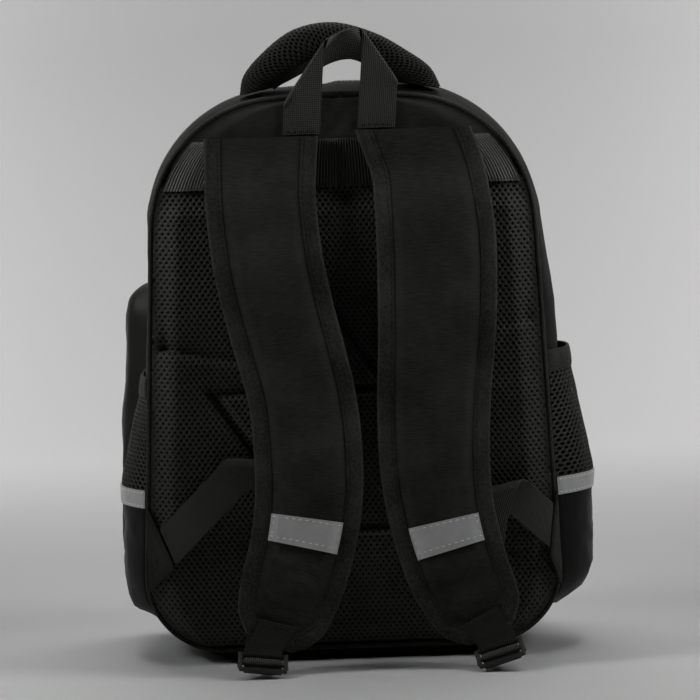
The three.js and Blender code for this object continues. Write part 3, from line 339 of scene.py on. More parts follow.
def tubePiece(name, rings, finish, loop):
    rings = np.asarray(rings)
    count, sides = rings.shape[:2]
    steps = count if loop else count - 1
    along = np.concatenate([[0], np.cumsum(np.linalg.norm(np.roll(rings, -1, 0) - rings, axis=2).mean(1))])
    girth = np.linalg.norm(rings[0] - np.roll(rings[0], 1, 0), axis=1).sum()
    i, j = (a.ravel() for a in np.meshgrid(np.arange(steps), np.arange(sides), indexing="ij"))
    corners = [(i, j), (i + 1, j), (i + 1, j + 1), (i, j + 1)]
    faces = np.stack([a % count * sides + b % sides for a, b in corners], -1).tolist()
    uv = np.stack([np.stack([along[a], girth * b / sides], -1) for a, b in corners], 1)
    uv = uv.reshape(-1, 2).tolist()
    if not loop:
        faces += [list(range(sides)), list(range((count - 1) * sides, count * sides))]
        uv += [(0, 0)] * (2 * sides)
    return makePiece(name, rings.reshape(-1, 3), faces, finish, uv, 60, weld=True)


# staggered holes in a knitted face: hole is half its width, half its height and its depth
def netPiece(name, reach, pitch, hole, place, keep, finish, opened=None):
    (uLow, uHigh), (vLow, vHigh) = reach
    rows = np.arange(vLow, vHigh, pitch[1])
    columns = np.arange(uLow, uHigh, pitch[0])
    u, v = np.meshgrid(columns, rows)
    u = u + (np.arange(len(rows)) % 2)[:, None] * pitch[0] / 2
    centres = np.stack([u.ravel(), v.ravel()], 1)
    centres = centres[keep(centres[:, 0], centres[:, 1])]
    tall = (pitch[0] ** 2 / 4 + pitch[1] ** 2) / (2 * pitch[1])
    low = pitch[1] - tall
    wide = pitch[0] / 2
    rim = np.array([(0, tall), (-wide, low), (-wide, -low), (0, -tall), (wide, -low), (wide, low)])
    turn = np.radians([90, 150, 210, 270, 330, 30])
    lip = np.stack([hole[0] * np.cos(turn), hole[1] * np.sin(turn)], 1)
    if opened is not None:
        lip = lip * opened(centres[:, 0], centres[:, 1])[:, None, None]
    outer = (centres[:, None] + rim).reshape(-1, 2)
    cells = np.round(outer * 40).astype(int)  # corners shared by neighbouring holes
    _, first, index = np.unique(cells, axis=0, return_index=True, return_inverse=True)
    flat, ring, faces = [outer[first]], index.reshape(-1, 6), []
    sink = [np.zeros(len(first))]
    for share, depth in ((0.45, 0.2), (0, 1)):  # rounded shoulder, then the lip of the hole
        flat.append((centres[:, None] + lip + (rim - lip) * share).reshape(-1, 2))
        sink.append(np.full(len(flat[-1]), hole[2] * depth))
        ahead = np.arange(len(flat[-1])).reshape(-1, 6) + sum(len(part) for part in flat[:-1])
        faces.append(np.stack([ring, np.roll(ring, -1, 1), np.roll(ahead, -1, 1), ahead], -1).reshape(-1, 4))
        ring = ahead
    flat, faces = np.concatenate(flat), np.concatenate(faces)
    points = place(flat[:, 0], flat[:, 1], np.concatenate(sink))
    return makePiece(name, points, faces.tolist(), finish, flat[faces].reshape(-1, 2), 180)


def evenly(path, spacing):  # points at an even spacing; columns after the third are carried along
    path = np.asarray(path, float)
    run = np.concatenate([[0], np.cumsum(np.linalg.norm(np.diff(path[:, :3], axis=0), axis=1))])
    count = max(int(run[-1] / spacing), 2)
    at = np.linspace(0, run[-1], count)
    return np.stack([np.interp(at, run, path[:, k]) for k in range(path.shape[1])], 1)


def stitchPiece(name, runs, finish, length=2.6, gap=1.1, radius=0.28):
    sides = 5
    turn = np.arange(sides) * 2 * math.pi / sides
    ring = np.stack([0 * turn, np.cos(turn), np.sin(turn) * 0.7], 1)
    template = np.concatenate([ring * (0, r, r) + (t, 0, 0) for t, r in ((-0.5, 0.4), (0, 1), (0.5, 0.4))])
    ringFaces = [[(a * sides + k), (a * sides + (k + 1) % sides), ((a + 1) * sides + (k + 1) % sides),
                  ((a + 1) * sides + k)] for a in range(2) for k in range(sides)]
    faces, points, uv = [], [], []
    for path, up in runs:
        both = evenly(np.hstack([path, up]), length + gap)
        at, up = (both[1:, :3] + both[:-1, :3]) / 2, unit(both[1:, 3:])
        ahead = unit(both[1:, :3] - both[:-1, :3])
        side = unit(np.cross(up, ahead))
        for centre, f, s, n in zip(at, ahead, side, up):
            first = len(points) * len(template)
            shape = template * (length, radius, radius)
            points.append(centre + shape[:, :1] * f + shape[:, 1:2] * s + shape[:, 2:] * n)
            faces += [[first + k for k in face] for face in ringFaces]
            faces += [[first + k for k in range(sides)][::-1], [first + 2 * sides + k for k in range(sides)]]
            uv += [(template[k, 0] * length, k) for face in ringFaces for k in face] + [(0, 0)] * (2 * sides)
    makePiece(name, np.concatenate(points), faces, finish, uv, 80)


# camera, standing floor and light
view = dict(distance=2500, elevation=4.5, azimuth=-1, roll=-1.8143, target=(0, 0, 196), lens=187.47,
            shift=(0.0059, 0.0184))


def addCamera():
    a, e, roll = (math.radians(view[k]) for k in ("azimuth", "elevation", "roll"))
    back = Vector((math.sin(a) * math.cos(e), -math.cos(a) * math.cos(e), math.sin(e)))
    right = Vector((0, 0, 1)).cross(back).normalized()
    up = back.cross(right)
    c, s = math.cos(roll), math.sin(roll)
    right, up = right * c + up * s, up * c - right * s
    data = bpy.data.cameras.new("camera")
    data.lens, data.sensor_width = view["lens"], 36
    data.shift_x, data.shift_y = view["shift"]
    data.clip_start, data.clip_end = 0.1, 50
    camera = bpy.data.objects.new("camera", data)
    scene.collection.objects.link(camera)
    place = (Vector(view["target"]) + back * view["distance"]) * mm
    camera.matrix_world = Matrix.Translation(place) @ Matrix((right, up, back)).transposed().to_4x4()
    scene.camera = camera


# each light: name, place, aim and size in metres, watts, spread in degrees
studio = dict(wallY=1700, curve=430, height=2600, near=-3600, wide=3000, columns=9, shade=0.62, world=0.0,
              lights=[("wallLeft", (-1.06, 1.3, 0.68), (-0.68, 1.7, 0.45), (0.4, 1.1), 7.5, 180),
                      ("wallRight", (1.06, 1.3, 0.68), (0.68, 1.7, 0.45), (0.4, 1.1), 6.8, 180),
                      ("keyBig", (0, 0.85, 1.8), (0, -0.05, 0), (1.8, 1.2), 17, 180),
                      ("topBack", (0, 0.9, 1.9), (0, 0.5, 0), (1.8, 0.6), 1.6, 180),
                      ("leftGraze", (-0.75, -0.235, 0.75), (0, -0.05, 0.35), (0.3, 0.3), 0.56, 60),
                      ("rightGraze", (0.75, -0.235, 0.75), (0, -0.05, 0.35), (0.3, 0.3), 0.57, 60),
                      ("floorLeft", (-0.38, -0.3, 1.6), (-0.38, -0.3, 0), (0.25, 0.5), 0.3, 34),
                      ("floorRight", (0.38, -0.3, 1.6), (0.38, -0.3, 0), (0.25, 0.5), 0.3, 34)])


def addStudio():
    bend = np.linspace(0, math.pi / 2, 24)
    radius = studio["curve"]
    hollow = [(studio["wallY"] - radius + radius * math.sin(t), radius - radius * math.cos(t)) for t in bend]
    profile = [(studio["near"], 0), *hollow, (studio["wallY"], studio["height"])]
    columns = studio["columns"]
    points = [(x, y, z) for y, z in profile for x in np.linspace(-studio["wide"], studio["wide"], columns)]
    starts = [i * columns + j for i in range(len(profile) - 1) for j in range(columns - 1)]
    faces = [(s, s + 1, s + columns + 1, s + columns) for s in starts]
    paper = Finish("palePaper", {"Specular IOR Level": 0.15})
    fibre = paper.cloud(2.5, 4.0)
    shade = studio["shade"]
    paper.set({
        "Base Color": paper.tint(paper.spread(fibre, 0.0, 1.0), (shade * 0.985,) * 3, (shade, shade, shade)),
        "Roughness": paper.spread(fibre, 0.9, 0.8),
        "Alpha": 1 - paper.node("NewGeometry", {}).pick("Backfacing"),  # the wall hides nothing from behind
    })
    mesh = bpy.data.meshes.new("studioPaper")
    mesh.from_pydata((np.array(points) * mm).tolist(), [], faces)
    mesh.polygons.foreach_set("use_smooth", [True] * len(faces))
    mesh.materials.append(paper.material)
    floor = bpy.data.objects.new("studioPaper", mesh)
    scene.collection.objects.link(floor)
    world = bpy.data.worlds.new("studioAir")
    world.use_nodes = True
    world.node_tree.nodes["Background"].inputs[0].default_value = (1, 1, 1, 1)
    world.node_tree.nodes["Background"].inputs[1].default_value = studio["world"]
    scene.world = world
    for name, place, aim, size, power, spread in studio["lights"]:
        data = bpy.data.lights.new(name, "AREA")
        data.shape, data.size, data.size_y, data.energy = "RECTANGLE", *size, power
        data.spread = math.radians(spread)
        lamp = bpy.data.objects.new(name, data)
        lamp.location = place
        lamp.rotation_euler = (Vector(aim) - Vector(place)).to_track_quat("-Z", "Y").to_euler()
        scene.collection.objects.link(lamp)


addCamera()
addStudio()
print("camera and studio ready")

# the bag: seam line, gussets, zip, piping
# each corner: x, z, radius, steps round it, steps to the next; bulge: height, left, right
bag = dict(backY=-52, frontY=48, cloth=1.5, inset=2.8, pipingRadius=2.3, cordRadius=1.8, pipingGap=0.35,
           corners=[(141, 9, 50, 6, 7), (124.8, 373, 89, 7, 2), (0, 381.5, 500, 2, 2)], baseSteps=4, fine=4,
           bulge=[(9.5, 14, 14), (14, 2, 3), (25, 2, 5), (45, 6.5, 9.5), (80, 8, 12), (120, 7, 12.5),
                  (160, 6, 12.3), (205, 3.5, 12.8), (240, 3.2, 12.8), (276, 3.2, 8.6),
                  (315, 4.4, 6.4), (390, 6.8, 8.6)],
           power=2.6, basePower=9, soleRim=(62, 122), wrinkle=0.8, wrinkleRim=300, wrinkleFoot=(12, 40),
           zipEndZ=150, zipY=10, zipHalf=4, zipThick=1.0, stitchInset=1.6, gap=0.35)


def seamLine(corners, baseSteps, fine):  # x, z and the way out, anticlockwise from the lower right
    left = [c for c in corners if c[0] > 0][::-1]
    whole = [*corners, *[(-c[0], *c[1:]) for c in left]]
    steps = [c[4] for c in [*corners, *left[1:]]] + [baseSteps]
    arcs, line = [], []
    for k, (x, z, radius, turns, _) in enumerate(whole):
        corner = np.array([x, z], float)
        u, w = (unit(np.array(whole[(k + d) % len(whole)][:2]) - corner) for d in (-1, 1))
        half = math.acos(np.clip(u @ w, -1, 1)) / 2
        middle = unit(u + w) * radius / math.sin(half) + corner
        start = corner + u * radius / math.tan(half) - middle
        turn = np.linspace(0, math.pi - 2 * half, turns * fine + 1)
        c, s = np.cos(turn), np.sin(turn)
        arm = np.stack([c * start[0] - s * start[1], s * start[0] + c * start[1]], 1)
        arcs.append(np.hstack([middle + arm, arm / radius]))
    for k, arc in enumerate(arcs):
        ahead = arcs[(k + 1) % len(arcs)][0]
        share = np.linspace(0, 1, steps[k] * fine + 1)[1:-1, None]
        line += [arc, arc[-1] * (1 - share) + ahead * share]
    return np.vstack(line)


bagSeam = seamLine(bag["corners"], bag["baseSteps"], bag["fine"])
rightSeam = bagSeam[:int(np.argmax(bagSeam[:, 0] < 1))]


def halfWidth(z, inset):
    x, height, outX, outZ = rightSeam.T
    return np.interp(z, height - outZ * inset, x - outX * inset)


def bulgeAt(x, z):  # the table's rows rounded into each other, apart from the two ends
    table = np.array(bag["bulge"])
    fine = np.arange(-40.0, 460.0)
    window = np.hanning(31) / np.hanning(31).sum()
    made = []
    for column in (1, 2):
        plain = np.interp(fine, table[:, 0], table[:, column])
        soft = np.convolve(plain, window, "same")
        soft = plain + (soft - plain) * smooth(40, 60, fine) * (1 - smooth(400, 420, fine))
        made.append(np.interp(z, fine, soft))
    return np.where(x < 0, *made)


def gussetPoints(line, depths, inward=0.0):
    x, z, nx, nz = (line[:, k, None] for k in range(4))
    y = np.asarray(depths, float)[None]
    place = 2 * (y - bag["backY"]) / (bag["frontY"] - bag["backY"]) - 1
    power = bag["power"] + (bag["basePower"] - bag["power"]) * smooth(0.7, 0.95, -nz)
    sole = smooth(0.75, 0.99, -nz)  # flat base, easing up to its corners
    under = bag["bulge"][0][1] * (1 - smooth(*bag["soleRim"], np.abs(x)))
    swell = bulgeAt(x, np.maximum(z, bag["bulge"][1][0])) * (1 - sole) + under * sole
    out = swell * (1 - np.abs(place) ** power) - inward
    return np.stack(np.broadcast_arrays(x + nx * out, y, np.maximum(z + nz * out, inward)), -1)


def gussetSheet(name, line, depths, node, wrinkle, seed, finish=polyester, thick=None):
    thick = thick or bag["cloth"]
    front = gussetPoints(line, depths)
    away = np.stack([line[:, 2], 0 * line[:, 2], line[:, 3]], -1)[:, None]
    edge = np.clip((depths - bag["backY"]) * (bag["frontY"] - depths) / bag["wrinkleRim"], 0, 1)[None]
    clear = smooth(*bag["wrinkleFoot"], line[:, 1])[:, None]
    waves = softNoise(front * (1, 0.7, 1.5), 30, seed) + 0.5 * softNoise(front, 11, seed + 7)
    front = front + (waves * wrinkle * edge * clear)[..., None] * away
    inside = front - thick * away
    inside[..., 2] = np.maximum(inside[..., 2], front[..., 2].clip(max=1) + 0.6 * (front[..., 2] < 1))
    piece = sheetPiece(name, front, inside, finish)
    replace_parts(piece, node)
    piece["cut"][0] > 0.01


def addGussets():
    high = np.nonzero(bagSeam[:, 1] >= bag["zipEndZ"])[0]
    arch = bagSeam[high[0]:high[-1] + 1].copy()
    trough = np.vstack([bagSeam[high[-1]:], bagSeam[:high[0] + 1]])
    arch[0] += (arch[1] - arch[0]) * bag["gap"] / 9  # stations lie about 9 mm apart
    arch[-1] += (arch[-2] - arch[-1]) * bag["gap"] / 9
    zipFrom, zipTo = bag["zipY"] - bag["zipHalf"], bag["zipY"] + bag["zipHalf"]
    rear, fore = bag["backY"] - 1, bag["frontY"] + 1
    for name, line, start, end, steps, node, seed in (
            ("baseAndLowerSides", trough, rear, fore, 27, "bottom_gusset", 3.0),
            ("upperSidesRear", arch, rear, zipFrom - bag["gap"], 17, "top_gusset_rear", 5.0),
            ("upperSidesFront", arch, zipTo + bag["gap"], fore, 11, "top_gusset_front", 5.0)):
        gussetSheet(name, line, np.linspace(start, end, steps), node, bag["wrinkle"], seed)
    gussetSheet("mainZipTape", arch, np.linspace(zipFrom, zipTo, 5), "main_zip", 0.0, 5.0, bindingTape,
                bag["zipThick"])
    middle = gussetPoints(arch, [bag["zipY"]])[:, 0]
    out = np.stack([arch[:, 2], 0 * arch[:, 2], arch[:, 3]], 1)
    zipTeeth("mainZipTeeth", middle, out, np.tile([0.0, 1.0, 0.0], (len(out), 1)))
    stitchY = (zipFrom - bag["stitchInset"], zipTo + bag["stitchInset"])
    runs = [(gussetPoints(arch, [y], -0.2)[:, 0], out) for y in stitchY]
    stitchPiece("mainZipStitches", runs, thread)


def zipTeeth(name, middle, out, across, pitch=1.05, reach=2.2):
    both = evenly(np.hstack([middle, out, across]), pitch)
    ahead = unit(np.gradient(both[:, :3], axis=0))
    box = np.array([(x, y, z) for z, r in ((0, 1), (0.75, 0.7)) for x, y in
                    ((-0.4 * r, -1 * r), (0.4 * r, -1 * r), (0.4 * r, 1 * r), (-0.4 * r, 1 * r))])
    boxFaces = ((4, 5, 6, 7), (0, 1, 5, 4), (1, 2, 6, 5), (2, 3, 7, 6), (3, 0, 4, 7), (3, 2, 1, 0))
    points, faces = [], []
    for k, (row, along) in enumerate(zip(both, ahead)):
        side, up = unit(row[6:]), unit(row[3:6])
        middleY = (0.5 if k % 2 else -0.5) * reach * 0.8  # teeth reach in from alternate sides
        first = len(points) * len(box)
        sideways = (box[:, 1:2] * reach * 0.62 + middleY) * side
        points.append(row[:3] + up * 0.1 + box[:, :1] * along + sideways + box[:, 2:] * up)
        faces += [[first + c for c in face] for face in boxFaces]
    makePiece(name, np.concatenate(points), faces, coil, sharp=30)


def addPiping(name, y, node, seed):
    turn = np.linspace(0, 2 * math.pi, 11)[:-1]
    at = np.stack([bagSeam[:, 0], np.full(len(bagSeam), y), bagSeam[:, 1]], 1)
    radius = bag["cordRadius"] * (1 + 0.05 * softNoise(at, 9, seed))[:, None]
    out = np.stack([bagSeam[:, 2], 0 * bagSeam[:, 2], bagSeam[:, 3]], 1)
    rings = at[:, None] + radius[..., None] * (np.cos(turn)[None, :, None] * out[:, None]
                                               + np.sin(turn)[None, :, None] * np.array([0, 1.0, 0]))
    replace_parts(tubePiece(name, rings, bindingTape, True), node)


addGussets()
pipingDrop = bag["pipingRadius"] + bag["pipingGap"]
addPiping("backPiping", bag["backY"] - pipingDrop, "back_piping", 1.0)
addPiping("frontPiping", bag["frontY"] + pipingDrop, "front_piping", 2.0)
print("gussets, zip and piping ready")

# back panel: foam pad under knitted mesh, plain yoke, ribbed band
# each crease: x, z, depth, reach to either side
panel = dict(backY=-53, edgeThick=3, padLift=9, yokeLift=3, rimRun=16, shoulder=(300, 317), split=335,
             tuck=1.6, band=(319, 351), bandThick=1.2, bandTuck=0.4, ribPitch=1.9, ribHeight=1.2,
             stitchInset=1.6,
             channel=[(-52, 300), (27, 184), (-91, 184), (-29, 90), (66, 90)], channelHalf=2,
             channelDepth=4.2, dome=1.2, creaseRun=13, creaseLip=2.6,
             creases=[(-122, 214, 8.0, 52), (134, 229, 4.5, 36), (-124, 266, 1.0, 24), (126, 190, 0.9, 24)],
             pitch=(3.95, 2.76), hole=(0.76, 0.82, 1.0), netOver=2.2, netTop=4, foamDrop=1.5,
             fold=dict(x=-3, z=362, deep=1.6, half=4))


def panelFace(x, z):
    rim = halfWidth(z, bag["inset"]) - np.abs(x)
    edge = smooth(0, panel["rimRun"], np.minimum(rim, z - bag["corners"][0][1] - bag["inset"]))
    lift = panel["padLift"] + (panel["yokeLift"] - panel["padLift"]) * smooth(*panel["shoulder"], z)
    return panel["backY"] - panel["edgeThick"] - lift * edge


def channelDistance(x, z):
    best = np.full(np.shape(x), 1e9)
    for (ax, az), (bx, bz) in zip(panel["channel"], panel["channel"][1:]):
        dx, dz = bx - ax, bz - az
        t = np.clip(((x - ax) * dx + (z - az) * dz) / (dx * dx + dz * dz), 0, 1)
        best = np.minimum(best, np.hypot(x - ax - t * dx, z - az - t * dz))
    return best


def padFace(x, z):
    d = channelDistance(x, z)
    y = panelFace(x, z) + panel["channelDepth"] * (1 - smooth(0.6, panel["channelHalf"] + 3.2, d))
    y = y - panel["dome"] * smooth(4, 30, d) * (1 - smooth(270, 300, z)) * smooth(12, 60, z)
    rim = smooth(1, 9, halfWidth(z, bag["inset"]) - np.abs(x))
    for cx, cz, deep, reach in panel["creases"]:  # sharp below, easing off above
        above = z - cz + 0.2 * np.abs(np.abs(x) - abs(cx))
        slope = np.exp(-np.maximum(above, 0) / panel["creaseRun"])
        lip = np.exp(-(above / panel["creaseLip"]) ** 2)
        y = y + deep * np.where(above > 0, slope, lip) * np.exp(-((x - cx) / reach) ** 2) * rim
    return y


def panelGrid(rows, steps):  # closer columns towards the sides
    share = np.sin(np.linspace(-math.pi / 2, math.pi / 2, steps))
    x = share[None] * halfWidth(rows, panel["tuck"])[:, None]
    z = np.repeat(rows[:, None], steps, 1)
    return x, z, np.stack([x, np.full_like(x, panel["backY"]), z], -1)


def addBackPad():
    low, top = bag["corners"][0][1] + bag["inset"] + 0.05, panel["band"][0] + panel["netTop"]
    rows = np.concatenate([np.linspace(low, 40, 16), np.linspace(43, panel["split"] - 0.2, 96)])
    x, z, flat = panelGrid(rows, 91)
    foam = np.stack([x, np.minimum(padFace(x, z) + panel["foamDrop"], panel["backY"] - 0.8), z], -1)
    pad = sheetPiece("backFoam", foam, flat, meshBack)

    def place(u, v, sink):
        z = np.clip(v, low, top)
        edge = halfWidth(z, panel["tuck"])
        x = np.clip(u, -edge, edge)
        rim = smooth(0, 3, edge - np.abs(x))
        return np.stack([x, padFace(x, z) + sink * rim, z], 1)

    def keep(u, v):
        return (np.abs(u) < halfWidth(v, panel["tuck"] - panel["netOver"])) & (v > low - 1)

    def opened(u, v):  # holes close up towards the piping
        return smooth(-1, 6, halfWidth(v, bag["inset"]) - np.abs(u))

    net = netPiece("backNet", ((-150, 150), (low, top)), panel["pitch"], panel["hole"], place, keep, meshKnit,
                   opened)
    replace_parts(net, "back_pad")


def addYoke():
    rows = np.concatenate([np.linspace(panel["split"] + 0.2, 370, 22), np.linspace(371, 379.6, 14)])
    x, z, flat = panelGrid(rows, 61)
    at = np.stack([x, panelFace(x, z), z], -1)
    inside = smooth(0, 14, halfWidth(rows, bag["inset"])[:, None] - np.abs(x)) * (1 - smooth(368, 379, z))
    at[..., 1] -= inside * (0.7 * softNoise(at * (0.6, 1, 1.3), 24, 4.0) + 0.35 * softNoise(at, 8, 9.0))
    fold = panel["fold"]  # slanting crease between the loop's feet
    slant = (x - fold["x"]) * 0.9 - (z - fold["z"]) * 0.45
    at[..., 1] += (fold["deep"] * np.exp(-(slant / fold["half"]) ** 2) * smooth(26, 12, np.abs(x))
                   * smooth(352, 357, z) * smooth(376, 368, z))
    yoke = sheetPiece("backYoke", at, flat, strapCloth)
    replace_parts(yoke, "back_yoke")


def addBand():
    lowZ, topZ = panel["band"]
    rows = np.linspace(lowZ, topZ, 13)
    tuck = bag["inset"] + panel["bandTuck"]
    edge = halfWidth((lowZ + topZ) / 2, tuck)
    steps = int(2 * edge / panel["ribPitch"] * 5)
    share = np.linspace(-1, 1, steps)
    z = np.repeat(rows[:, None], steps, 1)
    x = share[None] * halfWidth(rows, tuck)[:, None]
    rib = np.abs(np.cos(math.pi * share * edge / panel["ribPitch"])) * panel["ribHeight"]
    selvedge = smooth(0, 2.2, z - lowZ) * smooth(0, 2.2, topZ - z)
    wave = 0.4 * softNoise(np.stack([x, 0 * x, z], -1), 22, 6.0) * selvedge
    y = panelFace(share[None] * halfWidth(rows, bag["inset"])[:, None], z) - bag["gap"]
    front = np.stack([x, y - panel["bandThick"] - rib * selvedge - wave, z], -1)
    band = sheetPiece("yokeBand", front, np.stack([x, y, z], -1), ribTape, sharp=70)
    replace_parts(band, "yoke_band")
    count, runs = 80, []
    for height in (lowZ + panel["stitchInset"], topZ - panel["stitchInset"]):
        x = np.linspace(-1, 1, count) * (halfWidth(height, bag["inset"]) - 3)
        z = np.full_like(x, height)
        y = panelFace(x, z) - bag["gap"] - panel["bandThick"] - 0.25
        runs.append((np.stack([x, y, z], 1), np.tile([0.0, -1, 0], (count, 1))))
    stitchPiece("yokeBandStitches", runs, thread)


addBackPad()
addYoke()
addBand()
print("back panel ready")

# front panel and front pocket
# rows from the panel to the middle of the face: y, share of the full outline, share of the way to the middle
pocket = dict(seam=[(134, 22, 50, 5, 4), (124, 229, 30, 5, 5)],
              full=[(159, -3, 85, 5, 4), (140.5, 253, 16, 5, 5)], baseSteps=4, fine=4, lean=-9.5, middleZ=125,
              cloth=1.4, wrinkle=2.3, dent=(3.4, -143, 249, 13), sideSeed=11.0, faceSeed=14.0,
              rows=[(51, 0, 0), (58, .54, 0), (66, .87, 0), (78, 1, 0), (86, .96, 0), (93.7, .84, 0),
                    (99, .55, 0), (104, .1, 0), (108, 0, .14), (110, 0, .4), (112, 0, 1)],
              gussetEnd=4, faceStart=5.0, faceLow=4.05, faceEnd=9.9, zipRun=(4.05, 4.95), zipSpare=4,
              zipEndZ=120, stitches=(3.75, 5.3))
pocketSeam = seamLine(pocket["seam"], pocket["baseSteps"], pocket["fine"])
pocketFull = seamLine(pocket["full"], pocket["baseSteps"], pocket["fine"])


def pocketPoints(places, inward=0.0, seed=None):  # places: one row of profile places for each station
    places = np.broadcast_to(places, (len(pocketSeam), np.shape(places)[-1]))
    profile = throughPoints(pocket["rows"], places.ravel()).reshape(*places.shape, 3)
    y, full, middle = profile[..., 0], np.clip(profile[..., 1], 0, 1), np.clip(profile[..., 2], 0, 1)
    mix = pocketSeam[:, None] + (pocketFull - pocketSeam)[:, None] * full[..., None]
    x = mix[..., 0] - mix[..., 2] * inward + pocket["lean"] * full
    z = mix[..., 1] - mix[..., 3] * inward
    deep, dentX, dentZ, reach = pocket["dent"]
    dent = deep * np.exp(-((x - dentX) / reach) ** 2 - ((z - dentZ) / reach) ** 2) * full
    x, z = x - mix[..., 2] * dent, z - mix[..., 3] * dent
    x = x + (pocket["lean"] - x) * middle
    z = z + (pocket["middleZ"] - z) * middle
    y = y - inward * smooth(6.2, 8, places)
    at = np.stack([x, y, np.maximum(z, inward * 0.6)], -1)
    if seed is not None:
        rim = smooth(0.1, 1.6, places) * smooth(0, 0.5, np.abs(places - 4.4))
        waves = softNoise(at * (1, 1.3, 0.4), 26, seed) + 0.5 * softNoise(at * (1, 1, 0.7), 12, seed + 3)
        waves = waves * rim * pocket["wrinkle"] * smooth(4, 30, at[..., 2])
        at[..., 0] += waves * mix[..., 2] * (1 - middle) * full
        at[..., 2] += waves * mix[..., 3] * (1 - middle) * full
        at[..., 1] += 1.4 * waves * smooth(6, 8, places)
    return at


def addFrontPanel():
    share = np.linspace(0, 1, 16)
    rim = np.stack([bagSeam[:, 0] - bagSeam[:, 2] * bag["inset"], 0 * bagSeam[:, 0],
                    bagSeam[:, 1] - bagSeam[:, 3] * bag["inset"]], 1)
    centre = np.array([0, 0, pocket["middleZ"]])
    skin = rim[:, None] + (centre - rim)[:, None] * (share[None, :, None] * 0.999)
    skin[..., 1] = bag["frontY"] + 0.6
    outer = skin.copy()
    outer[..., 1] += 1.6 + 0.3 * softNoise(skin, 26, 3.0) * smooth(0, 0.12, share)
    sheet = sheetPiece("frontPanel", outer, skin, polyester, wrap=True)
    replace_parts(sheet, "front_panel")


def pocketSheet(name, places, seed):
    front, back = (pocketPoints(places, inward, seed) for inward in (0, pocket["cloth"]))
    return sheetPiece(name, front, back, satin, wrap=True)


def addFrontPocket():
    gusset = pocketSheet("frontPocketSides", np.linspace(0, pocket["gussetEnd"], 26), pocket["sideSeed"])
    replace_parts(gusset, "front_pocket_gusset")

    high = pocketSeam[:, 1] >= pocket["zipEndZ"]
    start = np.where(high, pocket["faceStart"], pocket["faceLow"])
    for _ in range(3):  # the face eases down to the zip's ends
        start = np.where(high, pocket["faceStart"], (np.roll(start, 1) + start + np.roll(start, -1)) / 3)
    run = np.linspace(0, 1, 34) ** 1.15
    places = start[:, None] + (pocket["faceEnd"] - start[:, None]) * run[None]
    face = pocketSheet("frontPocketFace", places, pocket["faceSeed"])
    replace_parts(face, "front_pocket_face")
    ring = pocketPoints(places, 0, pocket["faceSeed"])[:, -1]  # closes the face's middle
    top = ring[:, None] + (ring.mean(0) - ring)[:, None] * np.linspace(0, 0.98, 5)[None, :, None]
    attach(sheetPiece("frontPocketCrown", top, top - (0, 0.5, 0), satin, wrap=True), "root")

    first, last = np.nonzero(high)[0][[0, -1]]
    spare = pocket["zipSpare"]  # the tape runs on under the face
    zipLow = pocket["zipRun"][0]
    wide = np.maximum(start - 0.05 - zipLow, 0.01)[:, None] * np.linspace(0, 1, 6)
    front, back = (pocketPoints(zipLow + wide, inward) for inward in (0.0, 1.0))
    front, back = (skin[first - spare:last + spare + 1] for skin in (front, back))
    zipTape = sheetPiece("frontZipTape", front, back, bindingTape)
    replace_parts(zipTape, "front_pocket_zip")
    front = pocketPoints(np.linspace(*pocket["zipRun"], 6))[first:last + 1]
    middle = (front[:, 2] + front[:, 3]) / 2
    side = unit(front[:, -1] - front[:, 0])
    out = unit(np.cross(np.gradient(middle, axis=0), side))
    if (out * (middle - (pocket["lean"], 60, pocket["middleZ"]))).sum(1).mean() < 0:
        out = -out
    zipTeeth("frontZipTeeth", middle, out, side)
    runs = []
    for place, seed in zip(pocket["stitches"], (pocket["sideSeed"], pocket["faceSeed"])):
        runs.append((pocketPoints([place], -0.15, seed)[first:last + 1, 0], out))
    stitchPiece("frontPocketStitches", runs, thread)


addFrontPanel()
addFrontPocket()
print("front pocket ready")

# side pockets
sidePocket = dict(columns=(-50.5, 46.5), power=2.6, clear=0.5, wall=1.2, lumps=1.3, lumpTop=(92, 103),
                  bulge=[(33, 0, 0), (38, 5, 3), (41, 9, 5.5), (48, 8.6, 10.5), (57, 8.2, 14.5),
                         (82, 7.6, 14), (106, 10.2, 15.2), (118, 11.4, 17.2), (125, 11.2, 16.3),
                         (137, 8.6, 14.7), (157, 5.8, 12), (181, 1.5, 7.8), (194, 0.7, 6), (204, 0.7, 5.4)],
                  foot={"left": 33, "right": 34}, top={"left": 194, "right": 204},
                  seed={"left": 21.0, "right": 31.0}, base=112, pitch=(4.4, 2.85), hole=(1.75, 1.28, 0.8),
                  # the pair after netUnderHem sets a near-black sheet behind the net: painted shade
                  netLow=112.2, netUnderHem=0.8, netShadeSheet=(-1.8, -2.2), hem=13.8, bindingWall=2.2,
                  hemStitch=2.2, tape=(106, 118), tapeThick=0.8, tapeDrop=1.5, stitchInset=1.6)


